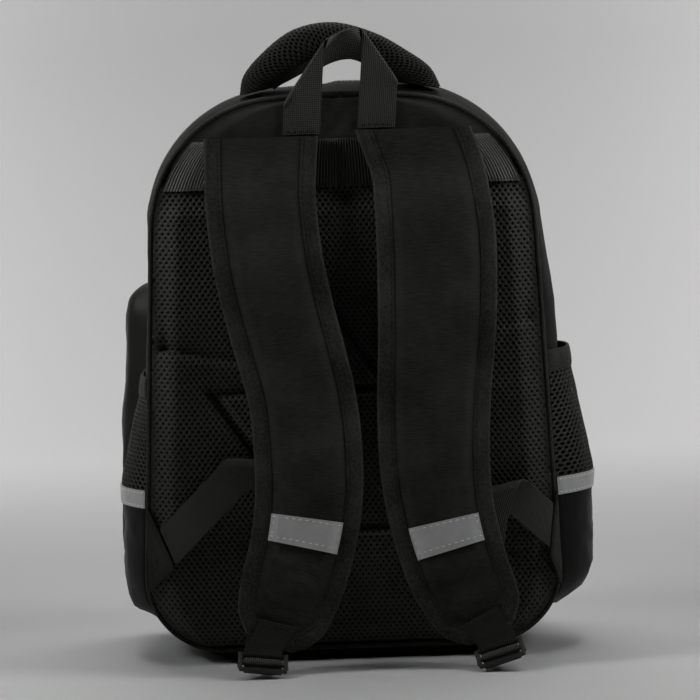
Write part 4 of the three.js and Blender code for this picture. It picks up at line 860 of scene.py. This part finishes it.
def pocketSide(side, z, y, out):
    sign, column = (-1, 1) if side == "left" else (1, 2)
    table = np.array(sidePocket["bulge"])
    z, y, out = np.broadcast_arrays(z, y, out)
    seam = [np.interp(z, rightSeam[:, 1], rightSeam[:, k]) for k in (0, 2, 3)]
    fine = np.arange(20.0, 230.0)
    plain = np.interp(fine, table[:, 0], table[:, column])
    soft = np.convolve(np.pad(plain, 9, "edge"), np.hanning(19) / np.hanning(19).sum(), "valid")
    soft = plain + (soft - plain) * smooth(57, 66, fine)
    first, last = sidePocket["columns"]
    place = np.clip(2 * (y - first) / (last - first) - 1, -1, 1)
    swell = np.interp(z, fine, soft) * (1 - np.abs(place) ** sidePocket["power"])
    depth = 2 * (y - bag["backY"]) / (bag["frontY"] - bag["backY"]) - 1
    power = bag["power"] + (bag["basePower"] - bag["power"]) * smooth(0.7, 0.95, -seam[2])
    away = bulgeAt(sign * seam[0], z) * (1 - np.abs(depth) ** power) + sidePocket["clear"] + swell + out
    return np.stack([sign * (seam[0] + seam[1] * away), y, z + seam[2] * away], -1)


def addSidePocket(side):
    depths = np.linspace(*sidePocket["columns"], 41)
    seed, wall = sidePocket["seed"][side], sidePocket["wall"]
    topZ = sidePocket["top"][side]
    hemZ = topZ - sidePocket["hem"]

    def skin(z, out):
        return pocketSide(side, z, depths, out)

    def lumpySkin(rows, out):
        at = skin(rows[:, None], out)
        middle = 1 - np.abs(2 * (depths - depths[0]) / (depths[-1] - depths[0]) - 1)[None] ** 4
        low = smooth(rows[0], rows[0] + 8, rows)[:, None]
        lump = softNoise(at * (0.6, 1, 0.8), 20, seed) + 0.5 * softNoise(at, 8, seed + 2)
        lump = lump + 1.2 * (0.5 - np.abs(softNoise(at * (1, 0.8, 1), 15, seed + 4)))  # sharp puckers
        below = 1 - smooth(*sidePocket["lumpTop"], rows)  # flat under the tape
        return skin(rows[:, None], out + sidePocket["lumps"] * lump * middle * low * below[:, None])

    def stitchRow(z, out, further):
        at = skin(z, out)
        return at, unit(skin(z, further) - at)

    rows = np.concatenate([np.linspace(sidePocket["foot"][side], 60, 10),
                           np.linspace(64, sidePocket["base"], 14)])
    # the pocket base wears the darker polyester: painted shade
    base = sheetPiece("sidePocketBase_" + side, lumpySkin(rows, wall), lumpySkin(rows, 0.0), shadedPocketCloth)
    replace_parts(base, "pocket_base_" + side)

    netLow, netTop = sidePocket["netLow"], hemZ + sidePocket["netUnderHem"]

    def place(u, v, sink):
        z, y = np.clip(v, netLow, netTop), np.clip(u, *sidePocket["columns"])
        sag = 0.6 * softNoise(np.stack([0 * y, y, z], -1), 17, seed)
        return pocketSide(side, z, y, wall + sag * smooth(0, 12, netTop - z) - sink)

    def keep(u, v):
        return np.abs(u + 2) < 51

    net = netPiece("sidePocketNet_" + side, ((-54, 50), (netLow - 1, netTop + 1)), sidePocket["pitch"],
                   sidePocket["hole"], place, keep, meshKnit)
    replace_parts(net, "pocket_net_" + side)
    # a near-black sheet behind each side net: painted shade inside the pocket, seen through the holes
    rows = np.linspace(netLow, netTop, 22)[:, None]
    front, back = (skin(rows, out) for out in sidePocket["netShadeSheet"])
    sheetPiece("sidePocketNetShadeSheet_" + side, front, back, meshBack)

    rows, share = np.linspace(hemZ, topZ, 9)[:, None], np.linspace(-1, 1, 9)[:, None]
    rolled = sidePocket["bindingWall"] * (0.75 + 0.25 * np.sqrt(1 - share**2))  # soft folded edge
    gather = 0.35 * np.sin(depths * 1.9 + 0.8 * np.sin(depths * 0.31)) * (1 - share**2)
    hem = sheetPiece("sidePocketBinding_" + side, skin(rows, rolled + gather), skin(rows, 0), bindingTape)
    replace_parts(hem, "pocket_binding_" + side)

    low, high = sidePocket["tape"]
    rows, inset = np.linspace(low, high, 7)[:, None], sidePocket["stitchInset"]
    drop = sidePocket["tapeDrop"]
    face = drop + sidePocket["tapeThick"]
    tape = sheetPiece("sidePocketReflector_" + side, skin(rows, face), skin(rows, drop), reflective)
    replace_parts(tape, "pocket_reflector_" + side)
    runs = [stitchRow(z, face + 0.1, drop + 3) for z in (low + inset, high - inset)]
    stitchPiece("sidePocketTapeStitches_" + side, runs, paleThread, 2.3, 1.5, 0.4)
    run = stitchRow(hemZ + sidePocket["hemStitch"], sidePocket["bindingWall"] * 0.9 + 0.1, 5.0)
    stitchPiece("sidePocketHemStitches_" + side, [run], thread)


for side in ("left", "right"):
    addSidePocket(side)
print("side pockets ready")

# shoulder straps, from the top: x, y, z of the middle, half width, half thickness
strapRows = {
    "left": [(-53, -64.7, 353, 38.2, 2.1), (-54, -66.2, 333, 37.5, 2.7), (-54.5, -70.4, 312, 36.9, 4),
             (-51.1, -76, 272, 36.7, 5), (-44, -80.7, 235.5, 36.2, 5), (-36.5, -84.8, 205, 35.8, 5),
             (-31, -88.7, 179, 35.6, 5), (-28.4, -93.6, 145, 36, 5), (-29.4, -98.6, 110, 35.5, 5),
             (-35.2, -103.2, 80, 34.5, 4.8), (-40.3, -105.8, 63.5, 34, 4.4), (-47.3, -108.8, 44.4, 32, 3.6),
             (-53.5, -110.9, 32, 27.5, 1.8), (-58.5, -112.2, 22, 17, 1.8)],
    "right": [(48.2, -64.7, 356, 38.4, 2.1), (57, -66.4, 330, 37.6, 2.8), (59.8, -70.6, 308, 38.8, 4),
              (61.3, -74.6, 283, 39.8, 5), (60.6, -80.5, 240, 39.6, 5), (58.5, -84.6, 207, 38.6, 5),
              (56, -89, 176, 37.7, 5), (55.2, -95.2, 133, 36.5, 5), (58.6, -100, 101, 35.2, 5),
              (67.5, -105.4, 66, 33.8, 4.6), (76.3, -108.6, 46, 31.6, 3.6), (83.2, -110.8, 33, 27.5, 1.8),
              (88.3, -112.2, 23, 17, 1.8)],
}
strap = dict(squareRows=2, roundRows=3, rowSteps=9, padInset=1.7, endInset=2.4, edgeThick=2.25, riseInset=19,
             crown=0.7, wrinkle=1.35, tuck=(-0.25, 11.6, 0.8), seed={"left": 41.0, "right": 47.0},
             bindingWidth=11, bindingThick=1.0, bindingHalf=3.3, bindingRound=2.2,
             hem=[(0, 2.75), (0.7, 2.95), (1.9, 2.7), (3.2, 3.0)], stitchAt=(1.9, 2.78),
             reflectorLength=19.5, reflectorZ={"left": 92, "right": 87.5}, reflectorLift=(1.3, 0.5),
             reflectorStitch=1.38)


class StrapLine:  # moving frame down a strap: along, across to the right, out of its face
    def __init__(self, rows):
        self.rows = np.array(rows, float)
        self.end = len(rows) - 1

    def frame(self, places):
        places = np.asarray(places, float)
        at = throughPoints(self.rows[:, :3], places)
        ahead = throughPoints(self.rows[:, :3], np.minimum(places + 0.02, self.end))
        along = unit(ahead - throughPoints(self.rows[:, :3], np.maximum(places - 0.02, 0)))
        across = unit(np.cross([0.0, -1, 0], along))
        across *= np.where(across[:, :1] < 0, -1, 1)
        square = np.clip(1 - places / strap["squareRows"], 0, 1)[:, None]
        across = unit(across + (np.array([1.0, 0, 0]) - across) * square)
        out = unit(np.cross(across, along))
        return at, along, across, out * np.where(out[:, 1:2] > 0, -1, 1)

    def half(self, places):
        return throughValues(self.rows[:, 3], np.asarray(places, float))

    def thick(self, places):
        return throughValues(self.rows[:, 4], np.asarray(places, float))

    def point(self, places, side, out):
        at, _, across, away = self.frame(places)
        return at + across * np.asarray(side)[..., None] + away * np.asarray(out)[..., None]

    def padLevel(self, places, inset):
        rise = smooth(strap["bindingWidth"] + 0.3, strap["riseInset"], inset)
        return strap["edgeThick"] + (self.thick(places) - strap["edgeThick"]) * rise

    def placeAtHeight(self, z):
        fine = np.linspace(0, self.end, 600)
        return float(np.interp(-z, -self.point(fine, 0 * fine, 0 * fine)[:, 2], fine))

    def rim(self, places, sign):  # the strap's edge, the way in from it, and the way out of its face
        at, _, across, out = self.frame(places)
        edge = at + across * (sign * self.half(places))[:, None]
        hub = self.point([self.end - strap["roundRows"]], [0], [0])[0]
        share = smooth(self.end - strap["roundRows"], self.end - strap["roundRows"] + 1.2, places)[:, None]
        aim = at + (hub - at) * share
        inward = aim - edge
        return edge, unit(inward - out * (inward * out).sum(1, keepdims=True)), out


def strapPad(line, side):
    places = np.linspace(0, line.end, line.end * strap["rowSteps"] + 1)
    shares = np.sin(np.linspace(-math.pi / 2, math.pi / 2, 39)) * 0.35 + np.linspace(-1, 1, 39) * 0.65
    half = line.half(places)
    squeeze = np.minimum(1, half / 30)
    seed = strap["seed"][side]
    edge = np.where(places > line.end - 2, strap["endInset"], strap["padInset"])
    sides = shares[None] * (half - edge)[:, None]
    inset = (half[:, None] - np.abs(sides)) / squeeze[:, None]
    flat = np.repeat(places[:, None], len(shares), 1)
    level = line.padLevel(flat.ravel(), inset.ravel()).reshape(flat.shape)
    crown = strap["crown"] * (1 - (sides / half[:, None]) ** 2) * smooth(0, 3, places)[:, None]
    crown *= (1 - smooth(line.end - 3, line.end - 1, places))[:, None]
    at = np.stack([sides, 0 * sides, flat * 22], -1)
    fold = softNoise(at * (0.55, 1, 1.25) + at[..., [2, 1, 0]] * (0.35, 0, 0), 16, seed)  # slanting folds
    fold += 0.45 * softNoise(at, 6.5, seed + 5)
    wrinkle = strap["wrinkle"] * fold * smooth(11, 17, inset) * smooth(0, 1.5, flat)
    wrinkle *= 0.55 + 0.45 * smooth(4, 8, flat)
    deep, tuckAt, tuckHalf = strap["tuck"]  # drawn in beside the binding
    lift = (level + crown + wrinkle + deep * np.exp(-((inset - tuckAt) / tuckHalf) ** 2)).ravel()
    pull = np.where(places >= line.end, strap["endInset"], 0)[:, None, None]
    pull = line.frame(places)[1][:, None] * pull
    front, back = (line.point(flat.ravel(), sides.ravel(), sign * lift).reshape(*flat.shape, 3) - pull
                   for sign in (1, -1))
    pad = sheetPiece("strapPad_" + side, front, back, strapCloth)
    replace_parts(pad, "strap_pad_" + side)


def strapBinding(line, side):
    places = np.linspace(0, line.end, line.end * 8 + 1)
    parts = [line.rim(p, s) for p, s in ((places, -1), (places[::-1], 1))]
    edge, inward, out = (np.vstack([a, b]) for a, b in zip(*parts))
    wide, top = strap["bindingWidth"], strap["bindingHalf"]
    turn = np.linspace(math.pi / 2, -math.pi / 2, 9)
    profile = [(wide - a, b) for a, b in strap["hem"]] + [(7, top - 0.1), (4.5, top)]
    radius = strap["bindingRound"]
    curl = [(radius - radius * math.cos(t), top * math.sin(t)) for t in turn]
    outer = np.array(profile + curl + [(a, -b) for a, b in profile[::-1]])
    inner = outer.copy()
    inner[:, 1] -= np.sign(inner[:, 1]) * np.minimum(strap["bindingThick"], np.abs(inner[:, 1]))
    inner[:, 0] = np.maximum(inner[:, 0], 1.0)
    wave = 0.16 * softNoise(edge, 7, 50.0)[:, None]

    def skin(shape, lift):
        level = shape[None, :, 1] + np.sign(shape[None, :, 1]) * lift
        return edge[:, None] + inward[:, None] * shape[None, :, :1] + out[:, None] * level[..., None]

    tape = sheetPiece("strapBinding_" + side, skin(outer, wave), skin(inner, wave), bindingTape,
                      sharp=70)
    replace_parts(tape, "strap_binding_" + side)
    back, level = strap["stitchAt"]
    runs = [(edge + inward * (wide - back) + out * (sign * level), out * sign) for sign in (1, -1)]
    stitchPiece("strapStitches_" + side, runs, thread, 2.7, 1.2, 0.33)


def strapReflector(line, side):
    middle = line.placeAtHeight(strap["reflectorZ"][side])
    k = math.floor(middle)
    spacing = np.linalg.norm(np.diff(line.point([k, k + 1], [0, 0], [0, 0]), axis=0))
    reach = strap["reflectorLength"] / 2 / spacing
    places = np.linspace(middle - reach, middle + reach, 9)
    flat = np.repeat(places[:, None], 25, 1)
    half = line.half(places)[:, None]
    sides = np.linspace(-1, 1, 25)[None] * (half - strap["bindingWidth"] - 0.3)

    def skin(lift):
        level = line.padLevel(flat.ravel(), (half - np.abs(sides)).ravel()).reshape(flat.shape)
        level = level + strap["crown"] * (1 - (sides / half) ** 2) + lift
        return line.point(flat.ravel(), sides.ravel(), level.ravel()).reshape(*flat.shape, 3)

    front, back = (skin(lift) for lift in strap["reflectorLift"])
    tape = sheetPiece("strapReflector_" + side, front, back, reflective)
    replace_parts(tape, "strap_reflector_" + side)
    top = skin(strap["reflectorStitch"])
    out = line.frame(places)[3]
    rows = [top[0] * 0.25 + top[1] * 0.75, top[-1] * 0.25 + top[-3] * 0.75]
    runs = [(row, np.repeat(out[:1], len(row), 0)) for row in rows]
    runs += [(top[1:-1, j], out[1:-1]) for j in (1, -2)]
    stitchPiece("strapReflectorStitches_" + side, runs, paleThread, 2.3, 1.5, 0.45)


lines = {side: StrapLine(strapRows[side]) for side in ("left", "right")}
for side, line in lines.items():
    strapPad(line, side)
    strapBinding(line, side)
    strapReflector(line, side)
print("shoulder straps ready")

# tabs, buckles, adjuster webbing and wings
hardware = dict(thick=1.2, width=25, bar=(9.5, 3), tilt=50,
                tab=[(-14, 5), (-5, 4.8), (6, 5.4), (9.5, 5.9), (11.55, 5.05), (12.4, 3), (11.55, 0.95),
                     (9.5, 0.1), (4.5, -4.4), (-2, -5.7), (-12, -6.2)],
                slant={"left": -6, "right": 16}, tabSlant={"left": -16, "right": 28},
                buckle=(33, 2.8, 3.0), bevel=0.62, bars=[(-1.5, 1.5), (6.3, 9.2), (12.6, 16)],
                adjuster={"left": dict(start=(-125.2, -66.4, 80.4), heading=45.5, length=76, axis=-5,
                                       endY=-80, sweep=-63, fold=1),
                          "right": dict(start=(134.2, -66.5, 86.6), heading=137, length=40, axis=193,
                                        endY=-79, sweep=47, fold=-1)},
                foldRadius=5, dropEnd=(3, -12), wingThick=2.8,
                tail=[(4.85, -3.6), (4.85, 0), (5.7, 2.05), (7.75, 2.9), (9.8, 2.05), (10.65, 0),
                      (11.4, -2.6), (13.6, -3.5)],
                wing={"left": [(-137.2, -58.2, 108), (-120, -71.5, 68), (-137.6, -58.2, 50)],
                      "right": [(137.6, -57.9, 110), (131.5, -71, 69), (139, -57.9, 46)]})


def upright(degrees):
    return Vector((math.cos(math.radians(degrees)), 0, math.sin(math.radians(degrees))))


def ribbonPiece(name, stations, thick, finish, steps=5, columns=9, wave=0.0, seed=0.0):
    centres, reaches = (np.array([list(s[k]) for s in stations], float) for k in (0, 1))
    places = np.linspace(0, len(stations) - 1, (len(stations) - 1) * steps + 1)
    at, across = throughPoints(centres, places), throughPoints(reaches, places)
    normal = unit(np.cross(np.gradient(at, axis=0), across))
    share = np.linspace(-1, 1, columns)
    body = thick / 2 * (1 - 0.45 * np.abs(share) ** 6)
    spots = at[:, None] + across[:, None] * share[None, :, None]
    sway = wave * softNoise(spots, 18, seed)[..., None]
    front, back = (spots + normal[:, None] * (sign * body[None, :, None] + sway) for sign in (1, -1))
    return sheetPiece(name, front, back, finish, width=hardware["width"]), spots


# flat ribbon turned back round a slanting axis
def slantedFold(start, heading, axis, radius, steps, width, back=1):
    slide = heading.dot(axis)
    rise = heading - axis * slide
    climb = rise.length
    rise.normalize()
    made = []
    for turn in np.linspace(0, math.pi, steps + 1):
        centre = start + axis * (radius * turn * slide / climb) + rise * (radius * math.sin(turn))
        centre.y += back * radius * (1 - math.cos(turn))
        made.append([centre, axis * (width / 2 / climb)])
    return made


def strapEnd(line, side):
    at, along, _, out = (Vector(v[0]) for v in line.frame([line.end]))

    def level(degrees):  # laid into the strap's face
        return (upright(degrees) - out * upright(degrees).dot(out)).normalized()

    bar = at + along * hardware["bar"][0] + out * hardware["bar"][1]
    across = level(hardware["slant"][side])
    down = out.cross(across)
    down = -down if down.z > 0 else down
    top = level(hardware["tabSlant"][side])
    return dict(at=at, along=along, out=out, bar=bar, across=across, down=down, top=top)


def buckleFrame(end):
    tilt = math.radians(hardware["tilt"])
    along = (end["down"] * math.cos(tilt) + end["out"] * math.sin(tilt)).normalized()
    out = end["across"].cross(along).normalized()
    out = -out if out.dot(end["out"]) < 0 else out
    return dict(at=end["bar"], along=along, across=end["across"], out=out)


def addTab(side, end):
    barAlong, barOut = hardware["bar"]
    stations = []
    for k, (along, out) in enumerate(hardware["tab"]):
        if along > barAlong - 4:
            centre = end["bar"] + end["down"] * (along - barAlong) + end["out"] * (out - barOut)
        else:
            centre = end["at"] + end["along"] * along + end["out"] * out
        stations.append((centre, (end["top"] if k == 0 else end["across"]) * (hardware["width"] / 2)))
    piece, spots = ribbonPiece("strapTab_" + side, stations, hardware["thick"], tabWebbing)
    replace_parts(piece, "strap_tab_" + side)
    out = np.array(end["out"])
    lift = out * 0.75
    box = [spots[2, 1:-1] + lift, spots[8, 1:-1] + lift, spots[2:9, 1] + lift, spots[2:9, -2] + lift]
    runs = [(run, np.tile(out, (len(run), 1))) for run in box]
    stitchPiece("strapTabStitches_" + side, runs, thread, 2.2, 0.8, 0.3)


def addBuckle(side, place):
    wide, thick, rail = hardware["buckle"]
    xs = [-wide / 2, rail - wide / 2, wide / 2 - rail, wide / 2]
    ys = [edge for bar in hardware["bars"] for edge in bar]
    work = bmesh.new()
    grid = [[work.verts.new((x, y, 0)) for x in xs] for y in ys]
    cells = [work.faces.new((grid[r][c], grid[r][c + 1], grid[r + 1][c + 1], grid[r + 1][c]))
             for r in range(len(ys) - 1) for c in range(3) if c != 1 or r % 2 == 0]
    made = bmesh.ops.extrude_face_region(work, geom=cells)
    raised = [v for v in made["geom"] if isinstance(v, bmesh.types.BMVert)]
    bmesh.ops.translate(work, verts=raised, vec=(0, 0, thick))
    bmesh.ops.translate(work, verts=work.verts, vec=(0, 0, -thick / 2))
    bmesh.ops.recalc_face_normals(work, faces=work.faces)
    lip = hardware["bars"][2][0]
    for v in work.verts:  # free end turned up into a grip lip
        if v.co.y > lip + 1:
            v.co.z += 0.9
            v.co.x *= 0.93
    edges = [e for e in work.edges if len(e.link_faces) == 2 and e.calc_face_angle(0) > 0.6]
    bmesh.ops.bevel(work, geom=edges, offset=hardware["bevel"], segments=3, profile=0.5, affect="EDGES",
                    clamp_overlap=True)
    points = np.array([v.co for v in work.verts])
    work.verts.index_update()
    faces = [[v.index for v in f.verts] for f in work.faces]
    work.free()
    for k in range(3):  # grip ridges across the free end
        first = len(points)
        y = lip + 0.9 + k * 0.95
        ridge = [(x, y + 0.3 * math.cos(t), thick / 2 + 0.45 + 0.45 * math.sin(t))
                 for x in (-wide * 0.36, wide * 0.36) for t in np.linspace(0, 2 * math.pi, 9)[:-1]]
        points = np.vstack([points, ridge])
        faces += [[first + j, first + (j + 1) % 8, first + 8 + (j + 1) % 8, first + 8 + j] for j in range(8)]
        faces += [[first + j for j in range(8)][::-1], [first + 8 + j for j in range(8)]]
    axes = np.array([place["across"], place["along"], place["out"]])
    points = np.array(place["at"]) + points @ axes
    piece = makePiece("strapBuckle_" + side, points, faces, nylon, sharp=40, weld=True)
    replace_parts(piece, "strap_buckle_" + side)


def addAdjuster(side, end, place):
    row = hardware["adjuster"][side]
    wing = [Vector(p) for p in hardware["wing"][side]]
    heading, axis, start = upright(row["heading"]), upright(row["axis"]), Vector(row["start"])
    width = hardware["width"]
    top = start + heading * row["length"]
    top.y = row["endY"]
    fold = slantedFold(top, heading, axis, hardware["foldRadius"], 8, width, row["fold"])
    sign = math.copysign(1, fold[0][1].dot(upright(row["heading"] + 90)))
    fold = [[centre, across * sign] for centre, across in fold]
    hem = wing[0] - wing[1]
    first = start + heading * (0.35 + hardware["wingThick"] / 2)
    reach = hem.normalized() * (width / 2 / math.sin(hem.angle(heading)))
    reach = -reach if reach.dot(fold[0][1]) < 0 else reach
    turned = 2 * row["axis"] - row["heading"]
    last = fold[-1][0]
    entry = end["bar"] + end["down"] * hardware["dropEnd"][0] + end["out"] * hardware["dropEnd"][1]
    far = (entry - last).length / 3
    bezier = [last, last + upright(turned) * far, entry - end["down"] * far, entry]
    away = []
    for t in np.linspace(0, 1, 9)[1:]:
        weights = [(1 - t) ** 3, 3 * t * (1 - t) ** 2, 3 * t * t * (1 - t), t**3]
        centre = sum((p * w for p, w in zip(bezier, weights)), Vector())
        away.append([centre, upright(turned + row["sweep"] * t - 90)])
    tail = [[place["at"] + place["along"] * a + place["out"] * o, place["across"].copy()]
            for a, o in hardware["tail"]]
    guide = fold[-1][1]
    for station in away + tail:
        across = station[1] if station[1].dot(guide) > 0 else -station[1]
        station[1] = guide = across * (width / 2 / across.length)
    lead = [[first + (top - first) * t, reach + (fold[0][1] - reach) * t] for t in (0.35, 0.7)]
    stations = [[first, reach], *lead, *fold, *away, *tail]
    piece, _ = ribbonPiece("adjusterWebbing_" + side, stations, hardware["thick"], webbing,
                           steps=4, columns=11, wave=0.25, seed=60.0)
    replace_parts(piece, "adjuster_webbing_" + side)


def addWing(side):
    corners = np.array(hardware["wing"][side], float)
    thick = hardware["wingThick"] / 2
    normal = unit(np.cross(corners[2] - corners[0], corners[1] - corners[0]))
    normal = normal if normal[1] < 0 else -normal
    top, tip, low = corners
    rows = np.linspace(0, 0.985, 18)
    share = np.linspace(0, 1, 21)
    left, right = top + (tip - top) * rows[:, None], low + (tip - low) * rows[:, None]
    at = left[:, None] + (right - left)[:, None] * share[None, :, None]
    span = np.linalg.norm(right - left, axis=1)[:, None]
    edge = np.minimum(share[None] * span, (1 - share[None]) * span)
    edge = np.minimum(edge, np.linalg.norm(tip - top) * (1 - rows[:, None]))
    puff = thick * (0.45 + 0.55 * smooth(0, 3.5, edge)) + 0.4 * softNoise(at, 9, 71.0) * smooth(3, 9, edge)
    puff = puff - 0.45 * np.exp(-(edge - 4.2) ** 2)  # sewn round its rim
    front, back = (at + normal * (sign * puff[..., None]) for sign in (1, -1))
    piece = sheetPiece("strapWing_" + side, front, back, strapCloth)
    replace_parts(piece, "wing_" + side)
    inside = corners + (corners.mean(0) - corners) * 0.24 + normal * (thick - 0.15)
    runs = [(np.linspace(inside[a], inside[b], 20), np.tile(normal, (20, 1))) for a, b in ((0, 1), (1, 2))]
    stitchPiece("wingStitches_" + side, runs, thread, 2.4, 1.0, 0.3)


for side, line in lines.items():
    end = strapEnd(line, side)
    place = buckleFrame(end)
    addTab(side, end)
    addBuckle(side, place)
    addAdjuster(side, end, place)
    addWing(side)
print("buckles and webbing ready")

# carrying handle and hang loop
# handle sections: outer x and z, inner x and z, depth
handle = dict(y=-36, sections=[(-66.5, 381, -41, 386.2, 22), (-63.5, 394, -32, 390.4, 25),
                               (-49.5, 410, -23, 395, 26), (-29, 424.2, -12, 400.8, 26),
                               (-3, 428.5, 0, 404, 26), (25, 420.8, 13, 402, 26), (46, 408.7, 23, 396, 26),
                               (62.5, 396, 30, 390, 25), (69.5, 381.8, 35, 387.4, 22)],
              length=178.0, girth=76.0, pitch=(3.5, 2.45), hole=(0.85, 0.85, 0.8), coreDrop=1.2,
              seamTurn=2.35, seamHalf=2.6, seamRise=0.5)
loop = dict(legs={"left": dict(foot=(-26, -60.1, 354.2), top=(-23, -61.5, 392.6), axis=55),
                  "right": dict(foot=(24, -60.1, 357.2), top=(28, -61.5, 403), axis=123)},
            radius=1.2, width=25, thick=1.4, rise=(1, 19), lean=(-8, 5))


def handlePoints(share, turn, drop):  # share along the handle, turn round its section
    rows = np.array(handle["sections"], float)
    places = np.clip(share, 0, 1) * (len(rows) - 1)
    flat = np.zeros(len(rows))
    outer = throughPoints(np.stack([rows[:, 0], flat + handle["y"], rows[:, 1]], 1), places)
    inner = throughPoints(np.stack([rows[:, 2], flat + handle["y"], rows[:, 3]], 1), places)
    depth = np.interp(places, np.arange(len(rows)), rows[:, 4])
    middle, arm = (outer + inner) / 2, (outer - inner) / 2
    tall = np.linalg.norm(arm, axis=1)

    def squash(v):  # fuller than an ellipse
        return np.sign(v) * np.abs(v) ** 0.85

    up = squash(np.cos(turn)) * (tall - drop)
    at = middle + unit(arm) * up[:, None]
    at[:, 1] += squash(np.sin(turn)) * (depth / 2 - drop)
    return at


def addHandle():
    count, sides = 73, 28
    share = np.repeat(np.linspace(0, 1, count), sides)
    turn = np.tile(np.arange(sides) * 2 * math.pi / sides, count)
    rings = handlePoints(share, turn, handle["coreDrop"]).reshape(count, sides, 3)
    core = tubePiece("handleFoam", rings, meshBack, False)
    length, girth = handle["length"], handle["girth"]
    columns = round(girth / handle["pitch"][0])
    pitch = (girth / columns, handle["pitch"][1])

    def place(u, v, sink):
        return handlePoints(v / length, u / girth * 2 * math.pi, sink)

    def keep(u, v):
        return v < length

    # the handle net wears the darker knit: painted shade
    net = netPiece("handleNet", ((0, girth - 0.1), (1, length - 1)), pitch, handle["hole"], place, keep,
                   shadedHandleKnit)
    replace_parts(net, "handle_pad")

    def seamRun(start, turn, drop):  # along the underside, with the way out
        share = np.linspace(start, 1 - start, 120)
        at = handlePoints(share, np.full(120, turn), drop)
        return at, unit(at - handlePoints(share, np.full(120, turn), 3.0))

    turns = (handle["seamTurn"], -handle["seamTurn"])
    runs = [seamRun(0.03, turn, -0.35) for turn in turns]
    stitchPiece("handleStitches", runs, thread, 2.6, 1.0, 0.35)
    angle = np.linspace(0, 2 * math.pi, 9)[:-1]
    across = np.cos(angle)[None, :, None] * handle["seamHalf"]
    rise = np.sin(angle)[None, :, None] * handle["seamRise"]
    for name, turn in zip(("handleSeamFront", "handleSeamRear"), turns):
        at, out = seamRun(0.005, turn, -0.1)
        side = np.cross(unit(np.gradient(at, axis=0)), out)
        rings = at[:, None] + across * side[:, None] + rise * out[:, None]
        tubePiece(name, rings, bindingTape, False)


def loopLeg(side):
    leg = loop["legs"][side]
    foot, top = Vector(leg["foot"]), Vector(leg["top"])
    heading = top - foot
    heading.y = 0
    heading.normalize()
    fold = slantedFold(top, heading, upright(leg["axis"]), loop["radius"], 6, loop["width"])
    if fold[0][1].x < 0:
        fold = [[centre, -across] for centre, across in fold]
    flat = Vector((loop["width"] / 2, 0, 0))
    climb = [[foot + (top - foot) * t, flat.copy()] for t in (0.3, 0.55)]
    return [[foot, flat], *climb, *fold]


def addHangLoop():
    left, right = loopLeg("left"), loopLeg("right")[::-1]

    def edge(station, sign):
        return station[0] + station[1] * sign

    run = []
    for t in (0.2, 0.35, 0.5, 0.65, 0.8):
        arch = 4 * t * (1 - t)
        top = edge(left[-1], 1).lerp(edge(right[0], -1), t)
        low = edge(left[-1], -1).lerp(edge(right[0], 1), t)
        top.z += loop["rise"][0] * arch
        low.z += loop["rise"][1] * arch
        top.y += loop["lean"][0] * arch
        low.y += loop["lean"][1] * arch
        run.append([(top + low) / 2, (top - low) / 2])
    right = [[centre, -across] for centre, across in right]
    piece, spots = ribbonPiece("hangLoop", [*left, *run, *right], loop["thick"], webbing, steps=6,
                               columns=13, wave=0.2, seed=80.0)
    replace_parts(piece, "hang_loop")
    runs = []
    for row in (1, -2):
        line = spots[row] + np.array([0, -0.9, 0])
        runs.append((line[1:-1], np.tile([0.0, -1, 0], (len(line) - 2, 1))))
    stitchPiece("hangLoopStitches", runs, thread, 2.2, 0.8, 0.3)


addHandle()
addHangLoop()
print("handle and hang loop ready")

# zip sliders
slider = dict(body=(11, 9), pull=(24, 6), thick=3, mainX=52)


def addSlider(name, node, along, out):
    low, high = (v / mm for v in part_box(node))
    length, width = slider["body"]
    along, out = unit(np.array(along, float)), unit(np.array(out, float))
    start = np.array((low + high) / 2) - along * (length + slider["pull"][0]) / 2 - out * slider["thick"] / 2
    work = bmesh.new()

    def block(outline, bottom, top, bevel):
        base = [work.verts.new((x, y, bottom)) for x, y in outline]
        cap = [work.verts.new((x, y, top)) for x, y in outline]
        count = len(outline)
        made = [work.faces.new(base[::-1]), work.faces.new(cap)]
        for k in range(count):
            ahead = (k + 1) % count
            made.append(work.faces.new((base[k], base[ahead], cap[ahead], cap[k])))
        edges = list(dict.fromkeys(e for f in made for e in f.edges))
        bmesh.ops.bevel(work, geom=edges, offset=bevel, segments=2, profile=0.5, affect="EDGES",
                        clamp_overlap=True)

    half, tip = width / 2, slider["pull"][1] / 2
    block([(0.4, -half + 1.6), (2.5, -half), (length - 3, -half + 0.8), (length, -2), (length, 2),
           (length - 3, half - 0.8), (2.5, half), (0.4, half - 1.6)], 0.1, 1.5, 0.3)
    block([(2.2, -1.2), (length - 1.6, -1.2), (length - 1.6, 1.2), (2.2, 1.2)], 1.5, 2.5, 0.3)
    end = length + slider["pull"][0]
    block([(length - 3.4, -1.7), (length + 2, -tip + 0.4), (end - 4, -tip), (end - 0.8, -tip + 1.6),
           (end - 0.8, tip - 1.6), (end - 4, tip), (length + 2, tip - 0.4), (length - 3.4, 1.7)],
          1.3, 2.7, 0.35)
    for k in range(4):  # grip ridges on the pull
        x = end - 6.5 - k * 1.7
        block([(x, -tip + 1.3), (x + 0.8, -tip + 1.3), (x + 0.8, tip - 1.3), (x, tip - 1.3)], 2.6, 3.0, 0.12)
    work.verts.index_update()
    points = start + np.array([v.co for v in work.verts]) @ np.array([along, np.cross(out, along), out])
    faces = [[v.index for v in f.verts] for f in work.faces]
    work.free()
    piece = makePiece(name, points, faces, lacquer, sharp=40)
    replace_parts(piece, node)


crown = bagSeam[(bagSeam[:, 1] > 300) & (bagSeam[:, 0] > 0)]
spot = crown[np.argmin(np.abs(crown[:, 0] - slider["mainX"]))]
addSlider("mainZipSlider", "main_zip_slider", (-spot[3], 0, spot[2]), (spot[2], 0, spot[3]))
addSlider("frontZipSlider", "front_zip_slider", (1, 0, 0), (0, 0, 1))
print("sliders ready")
